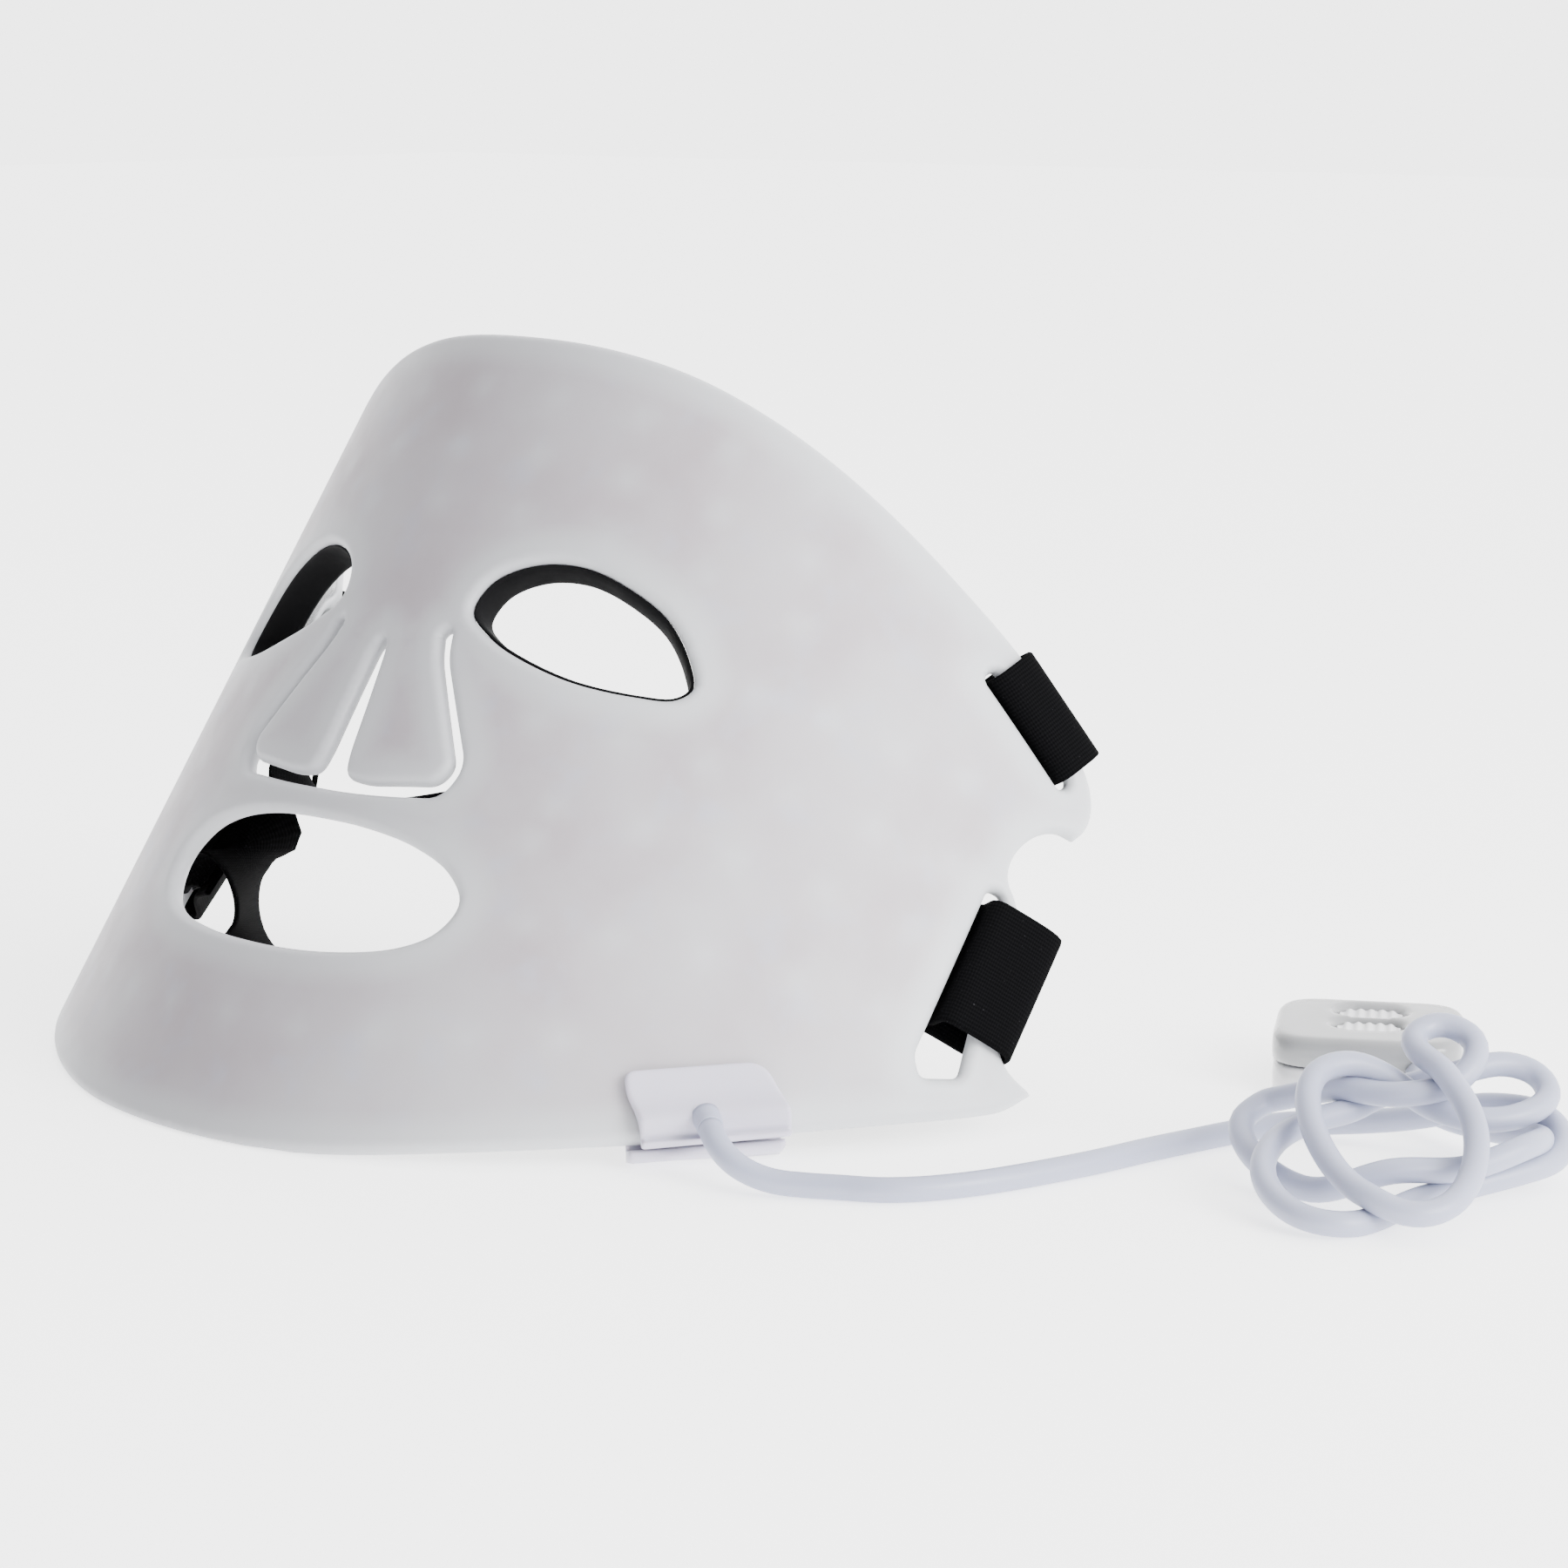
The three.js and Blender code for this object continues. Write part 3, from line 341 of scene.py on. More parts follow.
class Look:
    """A procedural material: nodes added one by one round a Principled shader."""

    def __init__(self, name, colour, roughness, **sockets):
        self.material = bpy.data.materials.new(name)
        self.material.use_nodes = True
        self.tree = self.material.node_tree
        self.shader = self.tree.nodes["Principled BSDF"]
        self.shader.inputs["Base Color"].default_value = (*colour, 1)
        self.shader.inputs["Roughness"].default_value = roughness
        for socket, value in sockets.items():
            self.shader.inputs[socket.replace("_", " ")].default_value = value
        self.coordinates = self.tree.nodes.new("ShaderNodeTexCoord").outputs["Object"]

    def link(self, source, target):
        self.tree.links.new(source, target)

    def node(self, kind, **values):
        node = self.tree.nodes.new(kind)
        for name, value in values.items():
            if name in node.inputs:
                node.inputs[name].default_value = value
            else:
                setattr(node, name, value)
        return node

    def attribute(self, name):
        return self.node("ShaderNodeAttribute", attribute_name=name).outputs["Fac"]

    def noise(self, size_mm, detail=3.0, source=None):
        """Noise whose features are about the given size."""
        noise = self.node("ShaderNodeTexNoise", Scale=1000 / size_mm, Detail=detail)
        self.link(source or self.coordinates, noise.inputs["Vector"])
        return noise.outputs["Fac"]

    def ramp(self, source, stops):
        """A colour for each position along a value."""
        ramp = self.node("ShaderNodeValToRGB")
        elements = ramp.color_ramp.elements
        while len(elements) < len(stops):
            elements.new(0.5)
        for element, (position, colour) in zip(elements, stops):
            element.position = position
            element.color = (*colour, 1)
        self.link(source, ramp.inputs["Fac"])
        return ramp.outputs["Color"]

    def mix(self, factor, a, b, blend="MIX"):
        """Two colours mixed; each of the three may be a socket or a value."""
        mix = self.node("ShaderNodeMix", data_type="RGBA", blend_type=blend)
        for socket, value in zip((mix.inputs[0], mix.inputs[6], mix.inputs[7]), (factor, a, b)):
            if isinstance(value, bpy.types.NodeSocket):
                self.link(value, socket)
            else:
                socket.default_value = value if isinstance(value, float) else (*value, 1)
        return mix.outputs[2]

    def range(self, source, low, high, to_low=0.0, to_high=1.0):
        """A value remapped from one range to another."""
        node = self.node("ShaderNodeMapRange")
        for index, value in enumerate((low, high, to_low, to_high), start=1):
            node.inputs[index].default_value = value
        self.link(source, node.inputs[0])
        return node.outputs[0]

    def mix_factor(self, source, amount):
        """A value scaled down to at most the given amount."""
        return self.range(source, 0.0, 1.0, 0.0, amount)

    def as_value(self, source):
        """A colour's brightness."""
        node = self.node("ShaderNodeRGBToBW")
        self.link(source, node.inputs["Color"])
        return node.outputs["Val"]

    def colour(self, source):
        self.link(source, self.shader.inputs["Base Color"])
        return self

    def rough(self, source, low, high):
        self.link(self.range(source, 0.3, 0.7, low, high), self.shader.inputs["Roughness"])
        return self

    def bump(self, source, depth_mm, strength=1.0):
        bump = self.node("ShaderNodeBump", Strength=strength, Distance=depth_mm / 1000)
        self.link(source, bump.inputs["Height"])
        self.link(bump.outputs["Normal"], self.shader.inputs["Normal"])
        return self

    def on(self, *pieces):
        for piece in pieces:
            piece.data.materials.clear()
            piece.data.materials.append(self.material)


def moulded(name, colour, roughness, grain_mm=0.5, grain_depth=0.02, vary=0.04, **sockets):
    """A plastic or silicone look: slight colour and gloss variation and a fine moulded grain."""
    look = Look(name, colour, roughness, **sockets)
    darker = tuple(c * (1 - vary) for c in colour)
    look.colour(look.mix(look.range(look.noise(18), 0.35, 0.65), darker, colour))
    look.rough(look.noise(7), roughness * 0.9, min(1, roughness * 1.12))
    return look.bump(look.noise(grain_mm, 2), grain_depth)


def silicone_look():
    """Milky silicone: clearer at its rims, faintly mottled where lights and circuit lie behind, and darkened
    down the middle of the face by painted shade.
    """
    look = Look("milky_silicone", (0.80, 0.79, 0.81), 0.46)
    body = look.ramp(look.noise(34, 4), [(0.3, (0.385, 0.345, 0.372)), (0.5, (0.43, 0.405, 0.432)),
                                         (0.72, (0.46, 0.45, 0.475))])
    patches = look.range(look.noise(11, 3), 0.56, 0.72)
    body = look.mix(look.mix_factor(patches, 0.35), body, (0.42, 0.44, 0.53))
    spot = look.mix_factor(look.attribute("light"), 0.5)
    body = look.mix(spot, body, (0.52, 0.535, 0.56))
    rim = look.ramp(look.attribute("rim"), [(0.0, (1, 1, 1)), (0.35, (0.75, 0.75, 0.75)),
                                            (0.7, (0.12, 0.12, 0.12)), (1.0, (0, 0, 0))])
    surface = look.mix(look.as_value(rim), body, (0.53, 0.545, 0.565))
    # Painted shade: the colour is multiplied darker down the middle of the face, the part turned away from
    # the key light.
    look.colour(look.mix(look.mix_factor(look.attribute("front"), 0.8), surface, (0.55, 0.54, 0.555),
                         "MULTIPLY"))
    look.rough(look.noise(9), 0.40, 0.52)
    look.shader.inputs["Subsurface Weight"].default_value = 0.25
    look.shader.inputs["Subsurface Radius"].default_value = (1.0, 0.9, 0.95)
    look.shader.inputs["Subsurface Scale"].default_value = 0.004
    look.shader.inputs["Coat Weight"].default_value = 0.05
    return look.bump(look.noise(0.7, 2), 0.015)


def knit_look():
    """Black elastic: ribs along the band, cross stitches, and a little lint on the face."""
    look = Look("black_elastic", (0.002, 0.002, 0.0022), 0.95, Specular_IOR_Level=0.03)
    uv = look.node("ShaderNodeUVMap", uv_map="along").outputs["UV"]
    ribs = look.node("ShaderNodeTexWave", wave_type="BANDS", bands_direction="Y", Scale=340.0,
                     Distortion=1.2, Detail=1.0)
    stitches = look.node("ShaderNodeTexWave", wave_type="BANDS", bands_direction="X", Scale=520.0,
                         Distortion=1.5, Detail=1.0)
    look.link(uv, ribs.inputs["Vector"])
    look.link(uv, stitches.inputs["Vector"])
    weave = look.mix(0.45, ribs.outputs["Color"], stitches.outputs["Color"])
    dark = look.mix(look.as_value(weave), (0.0008, 0.0008, 0.001), (0.0036, 0.0036, 0.004))
    lint = look.range(look.noise(0.9, 1, uv), 0.74, 0.80)
    look.colour(look.mix(look.mix_factor(lint, 0.35), dark, (0.06, 0.06, 0.065)))
    return look.bump(look.as_value(weave), 0.12, 0.8)


SILICONE = silicone_look()
BLACK_RUBBER = moulded("black_silicone", (0.0035, 0.0035, 0.004), 0.7, Specular_IOR_Level=0.05)
KNIT = knit_look()
SATIN = moulded("satin_plastic", (0.52, 0.50, 0.60), 0.34, 0.4, 0.01, Subsurface_Weight=0.08,
                Subsurface_Scale=0.002)
JACKET = moulded("cord_jacket", (0.33, 0.35, 0.46), 0.40, 0.5, 0.01, Subsurface_Weight=0.06,
                 Subsurface_Scale=0.001)
SHELL_WHITE = moulded("gloss_shell", (0.60, 0.60, 0.62), 0.16, 0.6, 0.004, 0.02, Coat_Weight=0.3,
                      Coat_Roughness=0.08)
SHELL_CLEAR = moulded("smoky_clear_shell", (0.36, 0.365, 0.375), 0.22, 0.6, 0.006, 0.10,
                      Transmission_Weight=0.35, Coat_Weight=0.2, Coat_Roughness=0.1)
BUTTON_WHITE = moulded("button_cap", (0.64, 0.64, 0.66), 0.3, 0.5, 0.01, 0.02)
FILM = moulded("circuit_film", (0.62, 0.55, 0.40), 0.42, 1.0, 0.01, 0.12)
BOARD = moulded("board", (0.03, 0.16, 0.08), 0.38, 0.6, 0.02, 0.25)
GOLD = moulded("gold_contact", (0.78, 0.58, 0.22), 0.24, 0.3, 0.006, 0.1, Metallic=1.0)
STEEL = moulded("steel", (0.55, 0.56, 0.58), 0.3, 0.3, 0.01, 0.15, Metallic=1.0)
FOIL = moulded("battery_foil", (0.60, 0.61, 0.63), 0.32, 3.0, 0.1, 0.15, Metallic=0.8)
HOOKS = moulded("hook_tape", (0.006, 0.006, 0.007), 0.95, 0.8, 0.3, 0.5, Specular_IOR_Level=0.15)
CLEAR_SKIN = moulded("clear_silicone", (0.86, 0.87, 0.88), 0.25, 0.8, 0.01, 0.03,
                     Transmission_Weight=0.85, IOR=1.41)
PACKAGE = Look("light_package", (0.85, 0.84, 0.78), 0.3)
PACKAGE.colour(PACKAGE.mix(PACKAGE.range(PACKAGE.noise(1.6, 1), 0.52, 0.62), (0.86, 0.85, 0.80),
                           (0.86, 0.72, 0.22)))
PACKAGE.bump(PACKAGE.noise(0.8, 1), 0.03)

# ---- Cord ----------------------------------------------------------------------------------------

# The lead from the connector to the table, as far as the tied hank.
LEAD = [(115, -154.8, 11.2), (118, -157.2, 10.3), (121.5, -159.2, 8.9), (125.8, -160.1, 6.8),
        (130.2, -159.3, 4.9), (135, -157.2, 3.5), (141, -153.8, 3), (148, -149.8, 2.9),
        (155, -146.2, 2.9), (161, -140.6, 2.9), (166.5, -132.5, 2.9), (171, -123, 2.9),
        (175.5, -110.5, 2.9), (179.2, -98.4, 2.9), (182.6, -84, 2.9), (186.6, -70, 2.9),
        (190.2, -58.2, 2.9)]
TAIL = [(216.5, -24.6, 7), (213.9, -19.9, 7.2), (211.3, -15.1, 7.4)]
# The hank's turns, in its own axes: along its width, its depth from the back, and height.
HANK_LOW = [(16, 3, 3), (30, 6, 4), (46, 14, 7), (60, 19, 12), (71, 25, 15), (74, 35, 13), (69, 47, 9),
            (60, 52, 6), (48, 54, 4), (36, 60, 3.5), (28, 72, 3), (20, 84, 3), (11, 82, 3), (4, 71, 5),
            (1, 58, 9), (6, 46, 13), (18, 38, 16), (31, 31, 20), (48, 31, 22), (63, 24, 25),
            (73, 22, 22), (74, 33, 18), (64, 41, 15), (52, 45, 14)]
HANK_HIGH = [(40, 40, 18), (29, 33, 25), (20, 33, 28.5), (13.5, 39, 26), (13, 50, 19), (16, 63, 12),
             (23, 78, 6), (34, 86, 3.5), (43, 78, 6), (49, 67, 12), (51, 55, 19), (46, 43, 25),
             (37, 33, 29), (33, 28, 31), (41, 26, 34), (51, 27, 34), (58, 30, 32), (55, 38, 27),
             (44, 44, 21), (30, 37, 20), (14, 26, 17), (3, 30, 12), (4, 43, 7), (15, 57, 4),
             (31, 60, 9), (47, 58, 9), (61, 52, 12), (67, 38, 10), (60, 22, 7), (52, 9, 6)]
HANK_CORNER = np.array([180.9, -55.0, 0.0])
HANK_WIDE = np.array([0.769, 0.640, 0.0])
HANK_DEEP = np.array([0.640, -0.769, 0.0])


TIGHTEST_BEND = 14.0


def settled(line, fixed_ends, rounds=300):
    """A cord's line pushed clear of itself and of the table, and smoothed where it bends tightly."""
    rest = line.copy()
    count = len(line)
    index = np.arange(count)
    near = np.abs(index[:, None] - index[None]) < 5
    spacing = np.linalg.norm(np.diff(line, axis=0), axis=1).mean()
    wanted = 2 * CORD_RADIUS + 0.15
    for _ in range(rounds):
        gap = line[:, None] - line[None]
        size = np.linalg.norm(gap, axis=2) + 1e-6
        push = np.where((size < wanted) & ~near, (wanted - size) / size * 0.3, 0)
        line = line + np.clip(np.sum(push[..., None] * gap, axis=1), -0.6, 0.6)
        middle = line.copy()
        turn = line[:-2] + line[2:] - 2 * line[1:-1]
        tight = np.clip(np.linalg.norm(turn, axis=1) * TIGHTEST_BEND / spacing ** 2 - 0.8, 0, 1)
        tight = np.convolve(tight, np.ones(5) / 3, "same")[:, None]
        middle[1:-1] += (0.16 + 0.3 * np.minimum(tight, 1)) * turn
        hold = 0.02 * np.ones((count, 1))
        hold[1:-1] *= 1 - np.minimum(tight, 1)
        line = middle + hold * (rest - middle)
        step = np.diff(line, axis=0)
        stretch = np.linalg.norm(step, axis=1, keepdims=True)
        pull = step * (1 - spacing / stretch) * 0.25
        line[:-1] += pull
        line[1:] -= pull
        line[:, 2] = np.maximum(line[:, 2], CORD_RADIUS + 0.1)
        line[:fixed_ends] = rest[:fixed_ends]
        line[-fixed_ends:] = rest[-fixed_ends:]
    return line


hank = [HANK_CORNER + x * HANK_WIDE + y * HANK_DEEP + (0, 0, z) for x, y, z in HANK_LOW + HANK_HIGH]
route = smooth_line(LEAD[1:] + [tuple(p) for p in hank] + TAIL[:-1], 3.6)
route = settled(route, 44)
route = smooth_line([LEAD[0], *route, TAIL[-1]], 1.8)


def tube(line, radius, sides, taper=None):
    """A tube along a line, with a frame carried along it without twist: (vertices, faces)."""
    line = np.asarray(line, float)
    way = np.gradient(line, axis=0)
    way /= np.linalg.norm(way, axis=1)[:, None]
    side = np.cross(way[0], (0, 0, 1.0))
    side /= np.linalg.norm(side)
    angles = np.linspace(0, 2 * math.pi, sides, endpoint=False)
    rings = []
    for i, (point, forward) in enumerate(zip(line, way)):
        side = side - forward * np.dot(side, forward)
        side /= np.linalg.norm(side)
        up = np.cross(side, forward)
        r = radius if taper is None else taper[i]
        rings.append(point + r * (np.cos(angles)[:, None] * side + np.sin(angles)[:, None] * up))
    vertices = np.vstack([*rings, line[:1], line[-1:]])
    faces = []
    for i in range(len(line) - 1):
        for j in range(sides):
            k = (j + 1) % sides
            a, b = i * sides, (i + 1) * sides
            faces.append((a + j, b + j, b + k, a + k))
    last = (len(line) - 1) * sides
    for j in range(sides):
        k = (j + 1) % sides
        faces.append((len(vertices) - 2, j, k))
        faces.append((len(vertices) - 1, last + k, last + j))
    return vertices, faces


cord = add_mesh("cord", *(lambda v, f: (row(v), f))(*tube(route, CORD_RADIUS, 20)), "mask", "cord_jacket")
JACKET.on(cord)
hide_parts("cord_lead", "cord_hank", "cord_tail")

# ---- The sheet and its nose flaps ----------------------------------------------------------------

RIM = SHEET_THICKNESS / 2
# A row across the middle: its ends, height at the nose line, bow and number of lights.
LIGHT_ROWS = [(-92, 92, 194, -0.0009, 9), (-96, 96, 178, -0.0009, 9), (-100, 100, 163, -0.0009, 9),
              (-60, 60, 84.8, 0, 7), (-84, 84, 30, 0.0017, 9)]
# A row on both sides: its inner and outer end, height at the inner end, slope and number of lights.
SIDE_ROWS = [(96, 150, 134, 0.03, 4), (50, 154, 113, 0.02, 6), (62, 150, 94, 0.03, 5),
             (66, 150, 66, 0.12, 5)]


def light_spots():
    """The flat places of the lights: rows with an arch, and sloping rows on both sides."""
    spots = [(u, top + bow * u * u) for low, high, top, bow, count in LIGHT_ROWS
             for u in np.linspace(low, high, count)]
    for inner, outer, top, slope, count in SIDE_ROWS:
        for u in np.linspace(inner, outer, count):
            spots += [(u, top + slope * (u - inner)), (-u, top + slope * (u - inner))]
    return np.array(spots)


LIGHTS = light_spots()


ROOT_SPACING = 1.2
roots = [resampled(np.array(line, float), ROOT_SPACING) for line in (ROOT, mirrored(ROOT))]
flat, triangles, distance = flat_mesh(
    outline(FINE), list(holes.values()), [0.15, 0.55, 1.2, 2.0, 2.9, 4.6, 5.4, 6.6], 3.4, roots)
fall = rounding(distance, RIM)
RECESS = 2.1
RECESS_START, RECESS_RUN = 4.8, 1.6
# The front is rounded at its edges; the back is full depth at the edges and recessed inside.
front_depth = fall
back_depth = SHEET_THICKNESS - fall - (SHEET_THICKNESS - RECESS) * smoothstep(
    (distance - RECESS_START) / RECESS_RUN)
sheet_vertices, sheet_faces = closed_slab(
    flat, triangles, distance, front_depth, back_depth, bend)
# The soft hem is flattened where it rests on the table.
sheet_vertices[:, 2] = np.maximum(sheet_vertices[:, 2], TABLE_GAP)

middle = flat[triangles].mean(axis=1)


def below_root(points, side):
    """Whether flat points lie in the flap on that side: under its root line, inside sloping limits.

    At the flap's lower outer corner the limit runs past the slit, so it also takes a sliver of the
    sheet there, which then moves with the flap.
    """
    (u0, v0), (u1, v1) = ROOT
    u, v = side * points[:, 0], points[:, 1]
    under = (v - v0) * (u1 - u0) < (u - u0) * (v1 - v0)
    outer = 18.8 + (126 - v) * 0.62
    return under & (u > 0) & (u < outer) & (v > 89.6 + 0.03 * np.abs(u)) & (v < 130)


normals = np.zeros_like(sheet_vertices)
corners = sheet_vertices[sheet_faces]
face_normals = np.cross(corners[:, 1] - corners[:, 0], corners[:, 2] - corners[:, 0])
for k in range(3):
    np.add.at(normals, sheet_faces[:, k], face_normals)
normals /= np.linalg.norm(normals, axis=1)[:, None] + 1e-12
flat_of = np.vstack([flat, flat[distance >= 1e-4]])
distance_of = np.concatenate([distance, distance[distance >= 1e-4]])


def sheet_piece(name, picked, body, slot):
    """The picked triangles of the sheet as a piece with smooth shared normals and its attributes.

    "rim" grows from 0 at an edge to 1 inside it, "light" is 1 over a light and falls off as a
    bell, and "front" is 1 down the middle of the face and falls off as a wide bell; "front" sets
    where painted shade darkens the colour.
    """
    faces = sheet_faces[np.concatenate([picked, picked])]
    used, index = np.unique(faces, return_inverse=True)
    piece = add_mesh(name, row(sheet_vertices[used]), index.reshape(faces.shape), body, slot)
    mesh = piece.data
    mesh.normals_split_custom_set_from_vertices([tuple(n) for n in normals[used]])
    rim = mesh.attributes.new("rim", "FLOAT", "POINT")
    rim.data.foreach_set("value", np.clip(distance_of[used] / 14, 0, 1))
    light = mesh.attributes.new("light", "FLOAT", "POINT")
    # The "front" attribute carries painted shade: it marks the middle of the face, which is darkened in the
    # silicone colour.
    front = mesh.attributes.new("front", "FLOAT", "POINT")
    front.data.foreach_set("value", np.exp(-((flat_of[used, 0] + 8) / 78) ** 2))
    spots = np.linalg.norm(flat_of[used][:, None] - LIGHTS[None], axis=2).min(axis=1)
    light.data.foreach_set("value", np.exp(-(spots / 3.6) ** 2))
    SILICONE.on(piece)
    return piece


in_left, in_right = below_root(middle, 1), below_root(middle, -1)
face_sheet = sheet_piece("face_sheet", ~in_left & ~in_right, "mask", "white_silicone")
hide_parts("front_silicone")
for word, side, picked in (("left", 1, in_left), ("right", -1, in_right)):
    flap = sheet_piece(f"flap_{word}", picked, None, "white_silicone")
    root = np.array(ROOT).mean(axis=0)
    start, end = bend(side * root[0], root[1]), bend(side * (root[0] + 2.5), root[1] - 8)
    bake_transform(flap)
    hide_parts(f"nose_flap_{word}")


FILM_FRONT, FILM_BACK, FILM_MARGIN, FILM_ROOT_GAP = 4.15, 4.6, 4.2, 3.2


def skin_film(name, picked, body, *nodes):
    """The clear skin-side film over a recess: a thin closed sheet set in from the edges and roots."""
    (u0, v0), (u1, v1) = ROOT
    size = math.hypot(u1 - u0, v1 - v0)
    from_root = ((np.abs(middle[:, 0]) - u0) * (v1 - v0) - (middle[:, 1] - v0) * (u1 - u0)) / size
    by_root = (np.abs(middle[:, 0]) < 19) & (np.abs(middle[:, 1] - 126) < 7)
    near_root = (np.abs(from_root) < FILM_ROOT_GAP) & by_root
    whole = picked & (distance[triangles].min(axis=1) > FILM_MARGIN) & ~near_root
    used, index = np.unique(triangles[whole], return_inverse=True)
    faces = index.reshape(-1, 3)
    u, v = flat[used].T
    top, bottom = bend(u, v, FILM_FRONT), bend(u, v, FILM_BACK)
    pairs = np.vstack([faces[:, [0, 1]], faces[:, [1, 2]], faces[:, [2, 0]]])
    reverse = {(int(b), int(a)) for a, b in pairs}
    border = [(int(a), int(b)) for a, b in pairs if (int(a), int(b)) not in reverse]
    count = len(used)
    walls = [f for a, b in border for f in ((a, count + a, count + b), (a, count + b, b))]
    piece = add_mesh(name, row(np.vstack([top, bottom])),
                     np.vstack([faces, faces[:, ::-1] + count, walls]), body, "clear_silicone")
    CLEAR_SKIN.on(piece)
    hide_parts(*nodes)


skin_film("skin_film", ~in_left & ~in_right, "mask", "skin_liner")
skin_film("flap_film_left", in_left, "nose_flap_left", "nose_flap_liner_left")
skin_film("flap_film_right", in_right, "nose_flap_right", "nose_flap_liner_right")


def ring_piece(name, loop, section, body, slot, look):
    """A ring that follows an opening: its section lists (distance into the opening, depth)."""
    along = np.roll(loop, -1, axis=0) - np.roll(loop, 1, axis=0)
    normal = np.stack([along[:, 1], -along[:, 0]], axis=1)
    normal /= np.linalg.norm(normal, axis=1)[:, None]
    if not inside(loop[:1] + 0.05 * normal[:1], loop)[0]:
        normal = -normal
    count, size = len(loop), len(section)
    rings = [bend(*(loop + normal * inset).T, depth) for inset, depth in section]
    vertices = np.stack(rings, axis=1).reshape(-1, 3)
    faces = []
    for i in range(count):
        j = (i + 1) % count
        for k in range(size):
            m = (k + 1) % size
            faces.append((i * size + k, j * size + k, j * size + m, i * size + m))
    piece = add_mesh(name, row(vertices), faces, body, slot)
    if volume(vertices, faces) < 0:
        piece.data.flip_normals()
    look.on(piece)
    return piece


def volume(vertices, faces):
    vertices = np.asarray(vertices)
    total = 0.0
    for face in faces:
        a = vertices[face[0]]
        for b, c in zip(face[1:-1], face[2:]):
            total += float(np.dot(a, np.cross(vertices[b], vertices[c])))
    return total


GUARD_SECTION = [(0.05, 2.5), (0.3, 2.1), (0.65, 2.2), (0.85, 2.6), (1.15, 5), (1.3, 9.4), (1.2, 10.3),
                 (0.8, 10.8), (0.35, 10.6), (0.1, 10), (0.05, 5)]
for word in ("left", "right"):
    guard = ring_piece(f"eye_cup_{word}", holes[f"eye_{word}"], GUARD_SECTION, "mask",
                       "black_silicone", BLACK_RUBBER)
    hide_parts(f"eye_guard_{word}")

# ---- Straps --------------------------------------------------------------------------------------

STRAPS = {
    "upper": ((160.9, 155.6), math.radians(60.3), 12.6, 34, 29.5),
    "lower": ((165.2, 96), math.radians(-4.9), 18.8, 13, 33),
}
STRAP_THICKNESS = 1.4


def loop_path(reach, tail):
    """A strap's loop across its slot: (outboard, outwards) from its inside end round to its free end."""
    inner, outer, slope = 10, 14.6, 0.52
    return [(-tail, -inner - slope * (tail - 9)), (-9, -inner), (-2.6, -8), (-0.2, -5.8), (0, -2.3),
            (0.2, 0), (1.4, 1.2), (4, 1.6), (reach - 3, 1.5), (reach - 0.6, 0.3), (reach, -3.2),
            (reach - 0.4, -6.8), (reach - 3.4, -9.6), (2, -10.8), (-4, -12), (-9, -outer),
            (-tail, -outer - slope * (tail - 9))]


def loop_stations(shape, side):
    """Middle points and width directions of one end's loop."""
    (u, v), outboard, reach, tail, _ = shape
    at, across, along, out = sheet_axes(side * u, v, outboard if side > 0 else math.pi - outboard)
    path = loop_path(reach, tail)
    return [(at + a * across + c * out, along * side) for a, c in path]


def span_stations(span):
    """Middle points and width directions: the width's tilt from upright and its turn, in degrees."""
    stations = []
    for x, y, z, tilt, turn in span:
        tilt, turn = math.radians(tilt), math.radians(turn)
        wide = (-math.sin(turn) * math.sin(tilt), math.cos(turn) * math.sin(tilt), math.cos(tilt))
        stations.append((np.array([x, y, z], float), np.array(wide)))
    return stations


def strap(name, node, shape, span):
    """One elastic band: its right loop, the span behind the face, its left loop."""
    stations = loop_stations(shape, -1)[::-1] + span_stations(span) + loop_stations(shape, 1)
    line = np.array([np.concatenate([point, wide * 10]) for point, wide in stations])
    fine = smooth_line(line, 1.6)
    centre, wide = fine[:, :3], fine[:, 3:]
    way = np.gradient(centre, axis=0)
    way /= np.linalg.norm(way, axis=1)[:, None]
    wide = wide - way * np.sum(wide * way, axis=1)[:, None]
    wide /= np.linalg.norm(wide, axis=1)[:, None]
    face = np.cross(way, wide)
    width, half = shape[4], STRAP_THICKNESS / 2
    steps = np.linspace(-1, 1, 15)
    # The section is a flat band with rounded selvedges.
    section = [(s * (width / 2 - half), half) for s in steps]
    section += [(width / 2 - half + half * math.cos(a), half * math.sin(a)) for a in (0.9, 0.3, -0.3, -0.9)]
    section += [(-s * (width / 2 - half), -half) for s in steps]
    section += [(-width / 2 + half - half * math.cos(a), half * math.sin(a)) for a in (-0.9, -0.3, 0.3, 0.9)]
    section = np.array(section)
    count, size = len(centre), len(section)
    vertices = (centre[:, None] + section[None, :, :1] * wide[:, None]
                + section[None, :, 1:] * face[:, None]).reshape(-1, 3)
    faces = [(i * size + k, i * size + (k + 1) % size, (i + 1) * size + (k + 1) % size, (i + 1) * size + k)
             for i in range(count - 1) for k in range(size)]
    faces += [tuple(range(size))[::-1], tuple((count - 1) * size + k for k in range(size))]
    if volume(vertices, faces) < 0:
        faces = [f[::-1] for f in faces]
    piece = add_mesh(name, row(vertices), faces, "mask", "black_elastic")
    layer = piece.data.uv_layers.new(name="along")
    along = np.concatenate([[0], np.cumsum(np.linalg.norm(np.diff(centre, axis=0), axis=1))]) / 1000
    around = np.concatenate([[0], np.cumsum(np.linalg.norm(np.diff(section, axis=0), axis=1))]) / 1000
    index = np.empty(len(piece.data.loops), int)
    piece.data.loops.foreach_get("vertex_index", index)
    layer.data.foreach_set("uv", np.stack([along[index // size], around[index % size]], axis=1).ravel())
    KNIT.on(piece)
    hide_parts(node)
    return piece


